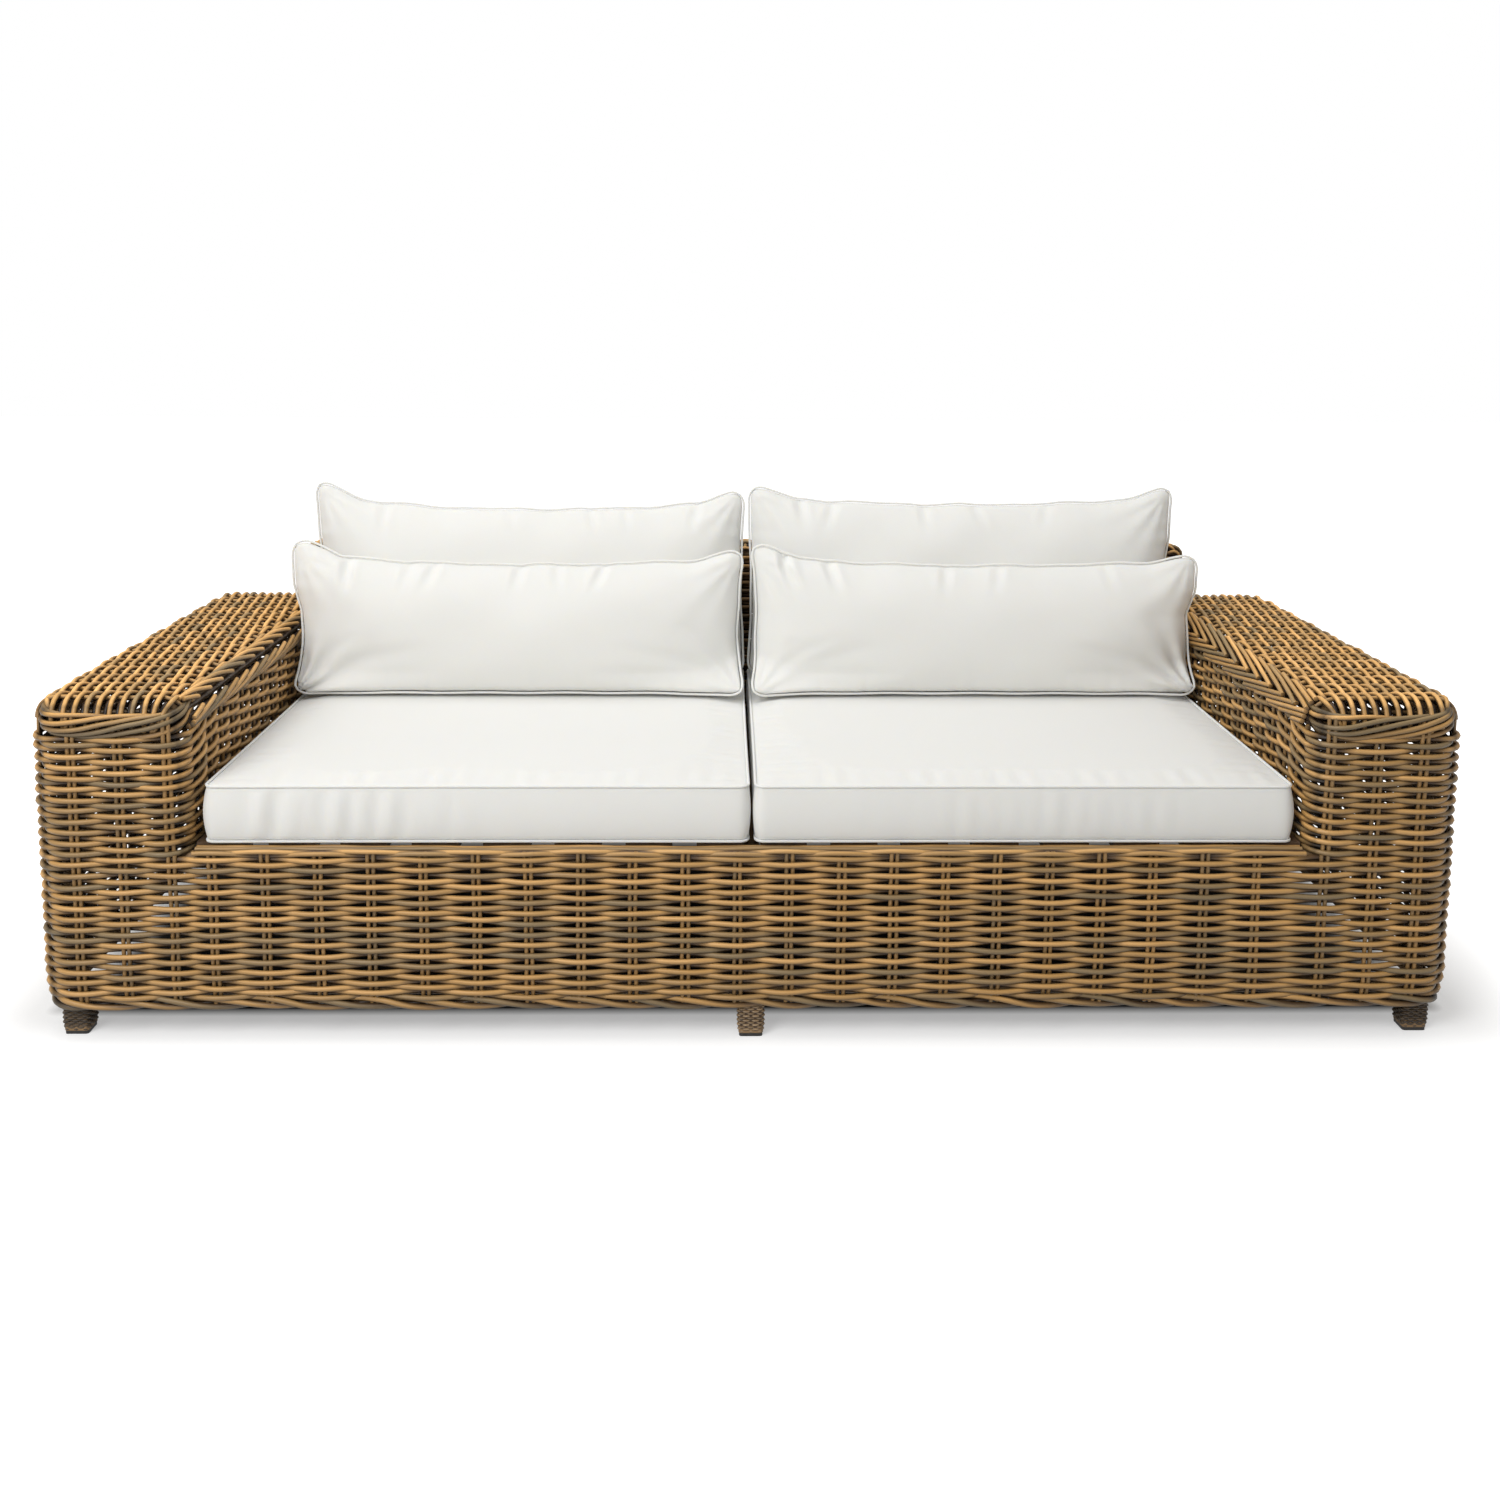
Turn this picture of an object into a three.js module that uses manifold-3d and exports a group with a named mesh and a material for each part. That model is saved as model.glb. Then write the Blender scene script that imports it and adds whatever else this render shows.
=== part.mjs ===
// Woven rattan garden sofa with two seat cushions, two back cushions and two lumbar cushions.
// Millimetres, +Z up, origin on the floor under the middle of the sofa, front facing -Y.
import * as THREE from 'three';
import Module from 'manifold-3d';
import { mergeVertices } from 'three/addons/utils/BufferGeometryUtils.js';

const wasm = await Module();
wasm.setup();

// Overall sizes
const width = 2400;
const depth = 1000;
const armHeight = 595;
const backRise = 120;
const seatFrameHeight = 340;
const skirtClearance = 55;
const armWidth = 270;
const clearance = 0.3;

// Rounded corners, seen from above and at the shoulder of each arm
const cornerRadius = 65;
const armInnerRadius = 55;
const shoulderRadius = 45;
const backCornerRadius = 38;
const backOverhang = 62;
const backRake = THREE.MathUtils.degToRad(6);
const arcSteps = 4;
// How far the middle of a quarter round lies in from its corner, as a share of its radius
const roundedShare = 1 - Math.SQRT1_2;

// Weave
const skinThickness = 22;
const rowPitch = 9.3;
const rowRelief = 3.5;
const stakePitch = 90;
const borderRelief = 3;
const rimStrandPitch = 11;
const braidWidth = 60;
const braidRise = 4;
const braidPitch = 36;
const braidRelief = 3.5;
const hemRadius = 9;
// Braid section from the seat side over its crest, as shares of its width and of its height
const braidSectionShares = [[0, 0.35], [0.1, 0.75], [0.28, 0.97], [0.5, 0.93], [0.75, 0.97], [1, 0.84]];

// Poles and feet
const railDiameter = 30;
const postDiameter = 26;
const poleSides = 12;
const footWidth = 42;
const footCornerRadius = 6;
const footCornerSteps = 3;
const footSetback = 8;
const centreFootGap = 2;
const glideHeight = 6;
const glideMargin = 1;

// Slatted seat deck
const slatThickness = 14;
const slatsPerSide = 8;
const slatWidth = 78;
const battenWidth = 40;
const battenHeight = 16;
const battenBite = 1;
const battenOffset = 190;
const deckPostGap = 2;
const bearerGap = 12;

// Seat cushions
const seatFrontSetback = 35;
const seatCushionHeight = 98;
const seatCrown = 6;
const seatCrownPower = 3;
const seatCrownShares = [0.93, 0.8, 0.6, 0.35];
const seatCornerRadius = 34;
const seatDrawnIn = 4;
const seatBulge = 3;
const cushionSideGap = 12;
const seatCentreGap = 5;
const pipingRadius = 4;
const pipingTuck = 3;

// Back and lumbar cushions
const pillowCornerRadius = 40;
const bellyShare = 0.4;
const swellShares = [0.2, 0.5, 0.75, 0.92];
const swellPowers = { across: 2.6, up: 2.4, edge: 0.6 };
const cushionCornerSteps = 3;
const cushionSideSteps = 5;
const backCushion = {
  height: 406, thickness: 165, sideGap: 8, centreGap: 20,
  drawnInTop: 38, drawnInSide: 14, taper: 4,
};
const lumbarCushion = {
  height: 288, thickness: 150, sideGap: 2, centreGap: 10,
  drawnInTop: 30, drawnInSide: 12, taper: 2,
};

// Derived places
const backHeight = armHeight + backRise;
const halfWidth = width / 2;
const halfDepth = depth / 2;
const railRadius = railDiameter / 2;
const postRadius = postDiameter / 2;
const railInset = skinThickness + clearance + railRadius;
const railEndInset = Math.max(cornerRadius, railInset + railRadius + postRadius + clearance);
const postInset = railEndInset - clearance - postRadius;
const armInnerX = halfWidth - armWidth;
const bottomRailZ = skirtClearance + 2 * hemRadius + railRadius;
const seatRailZ = seatFrameHeight - slatThickness - clearance - railRadius;
const seatRailTop = seatRailZ + railRadius;
const skirtTop = seatRailTop;
const shoulderZ = armHeight - shoulderRadius;
const armUndersideZ = armHeight - skinThickness;
const innerRailX = armInnerX + skinThickness + clearance + railRadius;
const innerRailZ = armUndersideZ - clearance - railRadius;
const innerPostX = armInnerX + armInnerRadius;
const innerPostInset = clearance + postRadius;
const innerPostY = Math.max(skinThickness, armInnerRadius - 2 * innerPostInset) + innerPostInset - halfDepth;
const innerRailStart = innerPostY + innerPostInset;
const braidCornerRadius = Math.min(armInnerRadius, braidWidth - braidRelief);
const railToArmTuck = (shoulderRadius - skinThickness - railRadius - clearance) * Math.SQRT1_2;
const outerRailInset = shoulderRadius - railToArmTuck;
const outerRailZ = shoulderZ + railToArmTuck;
const backTopRailZ = backHeight - skinThickness - clearance - railRadius;
const backRailY = halfDepth - railInset;
const backPlaneTopY = backRailY - railRadius - clearance - skinThickness / Math.cos(backRake);
const backPlaneY = (z) => backPlaneTopY - (backTopRailZ - z) * Math.tan(backRake);
const backHalfWidth = armInnerX + backOverhang;
const backPostX = backHalfWidth - skinThickness - clearance - postRadius;
const glideTop = glideHeight + clearance;
const centreFootY = halfDepth - skinThickness - clearance - centreFootGap - footWidth / 2;

const material = (color, roughness) => new THREE.MeshStandardMaterial({ color, roughness, metalness: 0 });
const paint = {
  weave: material(0xb58f5f, 0.6),
  braid: material(0xa98555, 0.6),
  pole: material(0xa07a4c, 0.65),
  foot: material(0x5f4a32, 0.7),
  glide: material(0x1d1c1b, 0.5),
  wood: material(0xb89468, 0.7),
  fabric: material(0xeae7e0, 0.95),
};

// Least turn of three points, in square millimetres, that isn't a straight line
const flatTurn = 1e-6;
const sofa = new THREE.Group();
const sides = [['left', -1], ['right', 1]];

function addMesh(name, geometry, finish) {
  const mesh = new THREE.Mesh(geometry, finish);
  mesh.name = name;
  sofa.add(mesh);
  return mesh;
}

// Triangles that close a flat ring, cut off it one by one, each time across the shortest gap
function capFaces(ring) {
  const normal = new THREE.Vector3();
  ring.forEach((p, i) => {
    const q = ring[(i + 1) % ring.length];
    normal.x += (p.y - q.y) * (p.z + q.z);
    normal.y += (p.z - q.z) * (p.x + q.x);
    normal.z += (p.x - q.x) * (p.y + q.y);
  });
  normal.normalize();
  const helper = Math.abs(normal.z) > Math.SQRT1_2 ? new THREE.Vector3(1, 0, 0) : new THREE.Vector3(0, 0, 1);
  const across = new THREE.Vector3().crossVectors(helper, normal).normalize();
  const up = new THREE.Vector3().crossVectors(normal, across);
  const flat = ring.map((p) => new THREE.Vector2(p.dot(across), p.dot(up)));
  const turn = (a, b, c) => flat[b].clone().sub(flat[a]).cross(flat[c].clone().sub(flat[a]));
  const rest = ring.map((_, i) => i);
  const faces = [];
  while (rest.length > 2) {
    let best = null;
    rest.forEach((b, i) => {
      const a = rest.at(i - 1);
      const c = rest[(i + 1) % rest.length];
      const gap = ring[a].distanceTo(ring[c]);
      if (turn(a, b, c) <= flatTurn || (best && gap >= best.gap)) return;
      const clear = rest.every((p) => p === a || p === b || p === c
        || turn(a, b, p) < -flatTurn || turn(b, c, p) < -flatTurn || turn(c, a, p) < -flatTurn);
      if (clear) best = { gap, i, face: [a, b, c] };
    });
    faces.push(best.face);
    rest.splice(best.i, 1);
  }
  return faces;
}

// A closed solid through a row of rings that all have the same number of points
function loft(rings) {
  const count = rings[0].length;
  const points = rings.flat();
  const faces = [];
  for (let r = 0; r + 1 < rings.length; r += 1) {
    for (let i = 0; i < count; i += 1) {
      const a = r * count + i;
      const b = r * count + ((i + 1) % count);
      faces.push([a, b, b + count], [a, b + count, a + count]);
    }
  }
  const last = (rings.length - 1) * count;
  capFaces(rings[0]).forEach(([a, b, c]) => faces.push([c, b, a]));
  capFaces(rings.at(-1)).forEach(([a, b, c]) => faces.push([a + last, b + last, c + last]));
  const volume = faces.reduce((sum, [a, b, c]) => (
    sum + points[a].dot(new THREE.Vector3().crossVectors(points[b], points[c]))), 0);
  const outward = volume > 0 ? faces : faces.map(([a, b, c]) => [a, c, b]);
  const geometry = new THREE.BufferGeometry();
  geometry.setAttribute('position', new THREE.Float32BufferAttribute(points.flatMap((p) => p.toArray()), 3));
  geometry.setIndex(outward.flat());
  return geometry;
}

function toManifold(geometry) {
  const bare = geometry.clone();
  bare.deleteAttribute('normal');
  bare.deleteAttribute('uv');
  const welded = mergeVertices(bare);
  return new wasm.Manifold(new wasm.Mesh({
    numProp: 3,
    vertProperties: new Float32Array(welded.attributes.position.array),
    triVerts: new Uint32Array(welded.index.array),
  }));
}

function fromManifold(solid) {
  const mesh = solid.getMesh();
  const geometry = new THREE.BufferGeometry();
  geometry.setAttribute('position', new THREE.Float32BufferAttribute(mesh.vertProperties, 3));
  geometry.setIndex(Array.from(mesh.triVerts));
  return geometry;
}

const fuse = (parts) => fromManifold(parts.map(toManifold).reduce((a, b) => a.add(b)));
const common = (a, b) => fromManifold(toManifold(a).intersect(toManifold(b)));

function block(xFrom, xTo, yFrom, yTo, zFrom, zTo) {
  return new THREE.BoxGeometry(xTo - xFrom, yTo - yFrom, zTo - zFrom)
    .translate((xFrom + xTo) / 2, (yFrom + yTo) / 2, (zFrom + zTo) / 2);
}

function roundedBlock(side, cornerSize, height) {
  const reach = side / 2;
  const shape = new THREE.Shape();
  shape.absarc(reach - cornerSize, reach - cornerSize, cornerSize, 0, Math.PI / 2);
  shape.absarc(cornerSize - reach, reach - cornerSize, cornerSize, Math.PI / 2, Math.PI);
  shape.absarc(cornerSize - reach, cornerSize - reach, cornerSize, Math.PI, 1.5 * Math.PI);
  shape.absarc(reach - cornerSize, cornerSize - reach, cornerSize, 1.5 * Math.PI, 2 * Math.PI);
  return new THREE.ExtrudeGeometry(shape, {
    depth: height, bevelEnabled: false, curveSegments: footCornerSteps,
  });
}

// Round pole between two points
function addPole(name, from, to, diameter) {
  const start = new THREE.Vector3(...from);
  const run = new THREE.Vector3(...to).sub(start);
  const geometry = new THREE.CylinderGeometry(diameter / 2, diameter / 2, run.length(), poleSides);
  const mesh = addMesh(name, geometry, paint.pole);
  mesh.position.copy(start).addScaledVector(run, 1 / 2);
  mesh.quaternion.setFromUnitVectors(new THREE.Vector3(0, 1, 0), run.normalize());
  return mesh;
}

// Points of a woven face: a valley between rows and a crest on each row
function wovenRows(length, pitch, relief) {
  const rows = Math.max(1, Math.round(length / pitch));
  const points = [];
  for (let row = 0; row < rows; row += 1) {
    points.push([(row / rows) * length, relief], [((row + 0.5) / rows) * length, 0]);
  }
  points.push([length, relief]);
  return points;
}

// Upright woven skin in section, as [depth into the sofa, height], with an optional hem at its foot
function skinProfile(bottom, top, hem = 0) {
  const rows = wovenRows(top - bottom - 2 * hem, rowPitch, rowRelief)
    .map(([along, sink]) => [sink, bottom + 2 * hem + along]);
  const nick = hem * roundedShare;
  const hemEdge = hem > 0 ? [[hem, bottom], [nick, bottom + nick], [0, bottom + hem]] : [];
  return [...hemEdge, ...rows, [skinThickness, top], [skinThickness, bottom]];
}

// Carries a [depth, height] section along places in plan, each with its outward direction
function sweep(profile, stations) {
  return loft(stations.map(({ x, y, nx, ny }) => (
    profile.map(([inward, z]) => new THREE.Vector3(x - nx * inward, y - ny * inward, z)))));
}

function cornerStations(cx, cy, radius, fromAngle, toAngle) {
  return Array.from({ length: arcSteps + 1 }, (_, i) => {
    const angle = fromAngle + ((toAngle - fromAngle) * i) / arcSteps;
    const nx = Math.cos(angle);
    const ny = Math.sin(angle);
    return { x: cx + radius * nx, y: cy + radius * ny, nx, ny };
  });
}

// Legs: a round post that rises through the arm, wrapped to a square foot below the skirt
function addLegs() {
  const footTop = skirtClearance - clearance;
  for (const [side, sx] of sides) {
    for (const [end, sy] of [['front', -1], ['rear', 1]]) {
      const x = sx * (halfWidth - postInset);
      const y = sy * (halfDepth - postInset);
      const footY = y - sy * footSetback;
      const postTop = outerRailZ - railRadius - clearance;
      const post = new THREE.CylinderGeometry(postRadius, postRadius, postTop - glideTop, poleSides)
        .rotateX(Math.PI / 2).translate(x, y, (postTop + glideTop) / 2);
      const foot = roundedBlock(footWidth, footCornerRadius, footTop - glideTop)
        .translate(x, footY, glideTop);
      addMesh(`leg_${end}_${side}`, fuse([post, foot]), paint.foot);
      addGlide(`glide_${end}_${side}`, x, footY);
    }
  }
  for (const [end, sy] of [['front', -1], ['rear', 1]]) {
    const footHeight = bottomRailZ - railRadius - clearance - glideTop;
    const y = sy * (halfDepth - railInset);
    addMesh(`foot_${end}_centre`, roundedBlock(footWidth, footCornerRadius, footHeight), paint.foot)
      .position.set(0, sy * centreFootY, glideTop);
    addGlide(`glide_${end}_centre`, 0, sy * centreFootY);
    addPole(`strut_${end}_centre`, [0, y, bottomRailZ + railRadius + clearance],
      [0, y, seatRailZ - railRadius - clearance], postDiameter);
  }
}

function addGlide(name, x, y) {
  const glide = roundedBlock(footWidth - 2 * glideMargin, footCornerRadius - glideMargin, glideHeight);
  addMesh(name, glide, paint.glide).position.set(x, y, 0);
}

// Rails: bottom and seat rings, a centre bearer, and the rails inside the arms and back
function addRails() {
  const railX = halfWidth - railInset;
  const railY = halfDepth - railInset;
  const endX = halfWidth - railEndInset;
  const endY = halfDepth - railEndInset;
  for (const [level, z] of [['bottom', bottomRailZ], ['seat', seatRailZ]]) {
    addPole(`${level}_rail_front`, [-endX, -railY, z], [endX, -railY, z], railDiameter);
    addPole(`${level}_rail_rear`, [-endX, railY, z], [endX, railY, z], railDiameter);
    for (const [side, sx] of sides) {
      addPole(`${level}_rail_${side}`, [sx * railX, -endY, z], [sx * railX, endY, z], railDiameter);
    }
  }
  const bearerEnd = railY - railRadius - clearance;
  addPole('seat_bearer_centre', [0, -bearerEnd, seatRailZ], [0, bearerEnd, seatRailZ], railDiameter);
  for (const [side, sx] of sides) {
    const outerX = sx * (halfWidth - outerRailInset);
    addPole(`arm_rail_outer_${side}`, [outerX, -halfDepth + cornerRadius, outerRailZ],
      [outerX, halfDepth - cornerRadius, outerRailZ], railDiameter);
    addPole(`arm_rail_inner_${side}`, [sx * innerRailX, innerRailStart, innerRailZ],
      [sx * innerRailX, backRailY - postRadius - clearance, innerRailZ], railDiameter);
    addPole(`arm_post_inner_${side}`, [sx * innerPostX, innerPostY, seatRailTop + clearance],
      [sx * innerPostX, innerPostY, innerRailZ], postDiameter);
    addPole(`back_post_${side}`, [sx * backPostX, backRailY, seatRailTop + clearance],
      [sx * backPostX, backRailY, backTopRailZ - railRadius - clearance], postDiameter);
  }
  addPole('back_post_centre', [0, backRailY, seatRailTop + clearance],
    [0, backRailY, backTopRailZ - railRadius - clearance], postDiameter);
  const backRailEnd = backHalfWidth - backCornerRadius;
  addPole('back_top_rail', [-backRailEnd, backRailY, backTopRailZ],
    [backRailEnd, backRailY, backTopRailZ], railDiameter);
}

// Slatted decks that carry the seat cushions, one on each side of the middle
function addDecks() {
  const railLine = halfDepth - railInset;
  const deckStart = postRadius + deckPostGap;
  const deckEnd = armInnerX - clearance;
  const topOfRails = seatFrameHeight - slatThickness;
  const pitch = (deckEnd - deckStart - slatWidth) / (slatsPerSide - 1);
  for (const [side, sx] of sides) {
    const parts = [];
    for (let i = 0; i < slatsPerSide; i += 1) {
      const inner = deckStart + i * pitch;
      parts.push(block(inner, inner + slatWidth, -railLine, railLine, topOfRails, seatFrameHeight));
    }
    for (const y of [-battenOffset, battenOffset]) {
      parts.push(block(railRadius + bearerGap, deckEnd - slatWidth / 2, y - battenWidth / 2,
        y + battenWidth / 2, topOfRails - battenHeight, topOfRails + battenBite));
    }
    const mirrored = parts.map((part) => (sx > 0 ? part : part.rotateZ(Math.PI)));
    addMesh(`seat_deck_${side}`, fuse(mirrored), paint.wood);
  }
}

// Woven skins of the base, the arms and the back
function addSkins() {
  const cornerX = halfWidth - cornerRadius;
  const cornerY = halfDepth - cornerRadius;
  const base = skinProfile(skirtClearance, skirtTop, hemRadius);
  const ends = (sy) => (sy < 0
    ? [...cornerStations(-cornerX, -cornerY, cornerRadius, Math.PI, 1.5 * Math.PI),
      ...cornerStations(cornerX, -cornerY, cornerRadius, 1.5 * Math.PI, 2 * Math.PI)]
    : [...cornerStations(cornerX, cornerY, cornerRadius, 0, Math.PI / 2),
      ...cornerStations(-cornerX, cornerY, cornerRadius, Math.PI / 2, Math.PI)]);
  addMesh('skirt_weave_front', sweep(base, ends(-1)), paint.weave);
  const tall = skinProfile(skirtClearance, shoulderZ, hemRadius);
  addMesh('skirt_weave_rear', sweep(tall, ends(1)), paint.weave);
  for (const [side, sx] of sides) {
    const flat = [-cornerY, cornerY].map((y) => (
      { x: sx * halfWidth, y: y - Math.sign(y) * clearance, nx: sx, ny: 0 }));
    addMesh(`side_weave_${side}`, sweep(tall, flat), paint.weave);
    addArmFront(side, sx, cornerX, cornerY);
    addArmInner(side, sx);
    addArmTop(side, sx, cornerY);
  }
}

function addArmFront(side, sx, cornerX, cornerY) {
  const innerCentreX = armInnerX + armInnerRadius;
  const outer = cornerStations(cornerX, -cornerY, cornerRadius, 2 * Math.PI, 1.5 * Math.PI);
  const inner = cornerStations(innerCentreX, armInnerRadius - halfDepth, armInnerRadius,
    1.5 * Math.PI, Math.PI);
  const path = [...outer, ...inner].map((s) => ({ ...s, x: sx * s.x, nx: sx * s.nx }));
  const profile = skinProfile(skirtTop + clearance, shoulderZ);
  addMesh(`arm_weave_front_${side}`, sweep(profile, path), paint.weave);
}

function addArmInner(side, sx) {
  const bottom = skirtTop + clearance;
  const rear = backPlaneY(bottom) - clearance;
  const flat = [armInnerRadius - halfDepth + clearance, rear].map((y) => (
    { x: sx * armInnerX, y, nx: -sx, ny: 0 }));
  const profile = skinProfile(bottom, armUndersideZ - clearance);
  addMesh(`arm_weave_inner_${side}`, sweep(profile, flat), paint.weave);
}

// Shoulder section as [inward, height]: up the outer side, round the shoulder and in across the top
function shoulderProfile(reach, pitch, relief) {
  const run = (Math.PI / 2) * shoulderRadius;
  const outer = wovenRows(run + reach - shoulderRadius, pitch, relief).map(([along, sink]) => {
    if (along > run) return [shoulderRadius + along - run, armHeight - sink];
    const angle = along / shoulderRadius;
    const r = shoulderRadius - sink;
    return [shoulderRadius - r * Math.cos(angle), shoulderZ + r * Math.sin(angle)];
  });
  const innerArc = Array.from({ length: arcSteps + 1 }, (_, i) => {
    const angle = (Math.PI / 2) * (1 - i / arcSteps);
    const r = shoulderRadius - skinThickness;
    return [shoulderRadius - r * Math.cos(angle), shoulderZ + r * Math.sin(angle)];
  });
  return [...outer, [reach, armUndersideZ], ...innerArc];
}

function addArmTop(side, sx, cornerY) {
  const reach = armWidth - braidWidth - clearance;
  const ends = [-cornerY + clearance, halfDepth].map((y) => ({ x: sx * halfWidth, y, nx: sx, ny: 0 }));
  const profile = shoulderProfile(reach, rowPitch, rowRelief).map(([inward, z]) => [inward, z + clearance]);
  addMesh(`arm_weave_top_${side}`, common(sweep(profile, ends), planOutline()), paint.weave);
}

// Solid of the whole sofa seen from above, with its four rounded corners
function planOutline() {
  const x = halfWidth - cornerRadius;
  const y = halfDepth - cornerRadius;
  const corners = [[x, y], [-x, y], [-x, -y], [x, -y]];
  const outline = corners.flatMap(([cx, cy], i) => (
    cornerStations(cx, cy, cornerRadius, (Math.PI / 2) * i, (Math.PI / 2) * (i + 1))));
  return loft([0, backHeight].map((z) => outline.map((p) => new THREE.Vector3(p.x, p.y, z))));
}

// Rope-like rim that rolls over the front of an arm, round its outer corner
function addArmRims() {
  const cornerX = halfWidth - cornerRadius;
  const cornerY = halfDepth - cornerRadius;
  const profile = shoulderProfile(cornerRadius - clearance, rimStrandPitch, borderRelief)
    .map(([inward, z]) => [inward, z + clearance]);
  for (const [side, sx] of sides) {
    const corner = cornerStations(cornerX, -cornerY, cornerRadius, 2 * Math.PI, 1.5 * Math.PI);
    const innerEnd = { x: armInnerX + braidWidth + clearance, y: -halfDepth, nx: 0, ny: -1 };
    const path = [...corner, innerEnd].map((s) => ({ ...s, x: sx * s.x, nx: sx * s.nx }));
    addMesh(`arm_rim_${side}`, sweep(profile, path), paint.braid);
  }
}

// Herringbone braid along the inner top edge of an arm, rolled down at the front corner
function addArmBraids() {
  const rear = backRailY - postRadius - clearance;
  const start = shoulderRadius - halfDepth;
  const steps = Math.round((rear - start) / (braidPitch / 2));
  const stations = [];
  for (let i = 0; i < arcSteps; i += 1) {
    const angle = (Math.PI / 2) * (i / arcSteps);
    stations.push([start - shoulderRadius * Math.cos(angle), shoulderRadius * (1 - Math.sin(angle))]);
  }
  for (let i = 0; i <= steps; i += 1) stations.push([start + ((rear - start) * i) / steps, 0]);
  for (const [side, sx] of sides) {
    const rings = stations.map(([y, drop], i) => braidRing(y, drop, i % 2 === 0).map(([inward, z]) => (
      new THREE.Vector3(sx * (armInnerX + inward), y, z))));
    addMesh(`arm_braid_${side}`, loft(rings), paint.braid);
  }
}

// Section of the braid as [distance from the seat-side face, height]
function braidRing(y, drop, raised) {
  const reach = y + halfDepth;
  const tuck = reach < braidCornerRadius
    ? braidCornerRadius - Math.sqrt(braidCornerRadius ** 2 - (braidCornerRadius - reach) ** 2) : 0;
  const top = armHeight + braidRise - drop;
  const low = Math.max(shoulderZ + clearance, Math.min(armUndersideZ + clearance, top - skinThickness));
  const height = top - low;
  const dip = braidRelief / (armHeight + braidRise - armUndersideZ);
  const level = (share, lifted) => low + height * share * (lifted ? 1 : 1 - dip);
  const spread = braidWidth - tuck;
  const crest = braidSectionShares.map(([along, up], i) => (
    [tuck + spread * along, level(up, (i % 2 === 1) === raised)]));
  return [[tuck, low], ...crest, [braidWidth, low]];
}

// Border of arched strands along the top of the front skirt, under the cushions
function addBaseBorder() {
  const reach = armInnerX - clearance;
  const steps = 2 * Math.round((2 * reach) / stakePitch);
  const rings = Array.from({ length: steps + 1 }, (_, i) => {
    const x = -reach + (2 * reach * i) / steps;
    const sink = i % 2 === 0 ? 0 : borderRelief;
    const front = -halfDepth + sink;
    const rear = -halfDepth + railInset - clearance;
    const low = skirtTop + clearance;
    const high = seatFrameHeight - sink;
    const roll = (high - low) / 2;
    const nick = roll * roundedShare;
    return [[front + nick, low], [rear, low], [rear, high - nick], [rear - roll, high],
      [front + roll, high], [front + nick, high - nick], [front, low + nick]]
      .map(([y, z]) => new THREE.Vector3(x, y, z));
  });
  addMesh('base_border_top', loft(rings), paint.braid);
}

// Places round the upper edge of the back, from its right foot over the top to its left foot
function backEdge(margin, foot) {
  const centreX = backHalfWidth - backCornerRadius;
  const centreZ = backHeight - backCornerRadius;
  const corner = (cx, from) => Array.from({ length: arcSteps + 1 }, (_, i) => {
    const angle = from + ((Math.PI / 2) * i) / arcSteps;
    const nx = Math.cos(angle);
    const nz = Math.sin(angle);
    const radius = backCornerRadius - margin;
    return { x: cx + radius * nx, z: centreZ + radius * nz, nx, nz };
  });
  return [
    { x: backHalfWidth - margin, z: foot, nx: 1, nz: 0 },
    ...corner(centreX, 0), ...corner(-centreX, Math.PI / 2),
    { x: margin - backHalfWidth, z: foot, nx: -1, nz: 0 },
  ];
}

// Solid of the back seen from the front: as wide as its waist between the arms, wider above them
function backOutline(bottom, waist) {
  const notch = armHeight + braidRise + clearance;
  const upper = backEdge(skinThickness + clearance, notch).map(({ x, z }) => [x, z]);
  const outline = [[-waist, bottom], [waist, bottom], [waist, notch], ...upper, [-waist, notch]];
  return loft([-halfDepth, halfDepth].map((y) => outline.map(([x, z]) => new THREE.Vector3(x, y, z))));
}

// Back skins, woven across the whole back and cut to its outline
function addBackSkins() {
  const across = (section) => loft([-backHalfWidth, backHalfWidth].map((x) => (
    section.map(([y, z]) => new THREE.Vector3(x, y, z)))));
  const bottom = seatFrameHeight + clearance;
  const thick = skinThickness / Math.cos(backRake);
  const inner = wovenRows(backHeight - bottom, rowPitch, rowRelief)
    .map(([along, sink]) => [backPlaneY(bottom + along) + sink, bottom + along]);
  inner.push([backPlaneY(backHeight) + thick, backHeight], [backPlaneY(bottom) + thick, bottom]);
  const innerCut = backOutline(bottom, armInnerX - clearance);
  addMesh('back_weave_inner', common(across(inner), innerCut), paint.weave);
  const outerBottom = shoulderZ + clearance;
  const outer = wovenRows(backHeight - outerBottom, rowPitch, rowRelief)
    .map(([along, sink]) => [halfDepth - sink, outerBottom + along]);
  outer.push([halfDepth - skinThickness, backHeight], [halfDepth - skinThickness, outerBottom]);
  const outerCut = backOutline(outerBottom, armInnerX + braidWidth);
  addMesh('back_weave_outer', common(across(outer), outerCut), paint.weave);
}

// Border that closes the back over its top and down to the arms
function addBackBorder() {
  const front = backPlaneY(backHeight) + clearance;
  const roll = skinThickness * roundedShare;
  const section = [[front + roll, 0], [halfDepth - roll, 0], [halfDepth, roll], [halfDepth, skinThickness],
    [front, skinThickness], [front, roll]];
  const rings = backEdge(0, armHeight + braidRise + 2 * clearance).map(({ x, z, nx, nz }) => (
    section.map(([y, inward]) => new THREE.Vector3(x - nx * inward, y, z - nz * inward))));
  addMesh('back_border', loft(rings), paint.braid);
}

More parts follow.
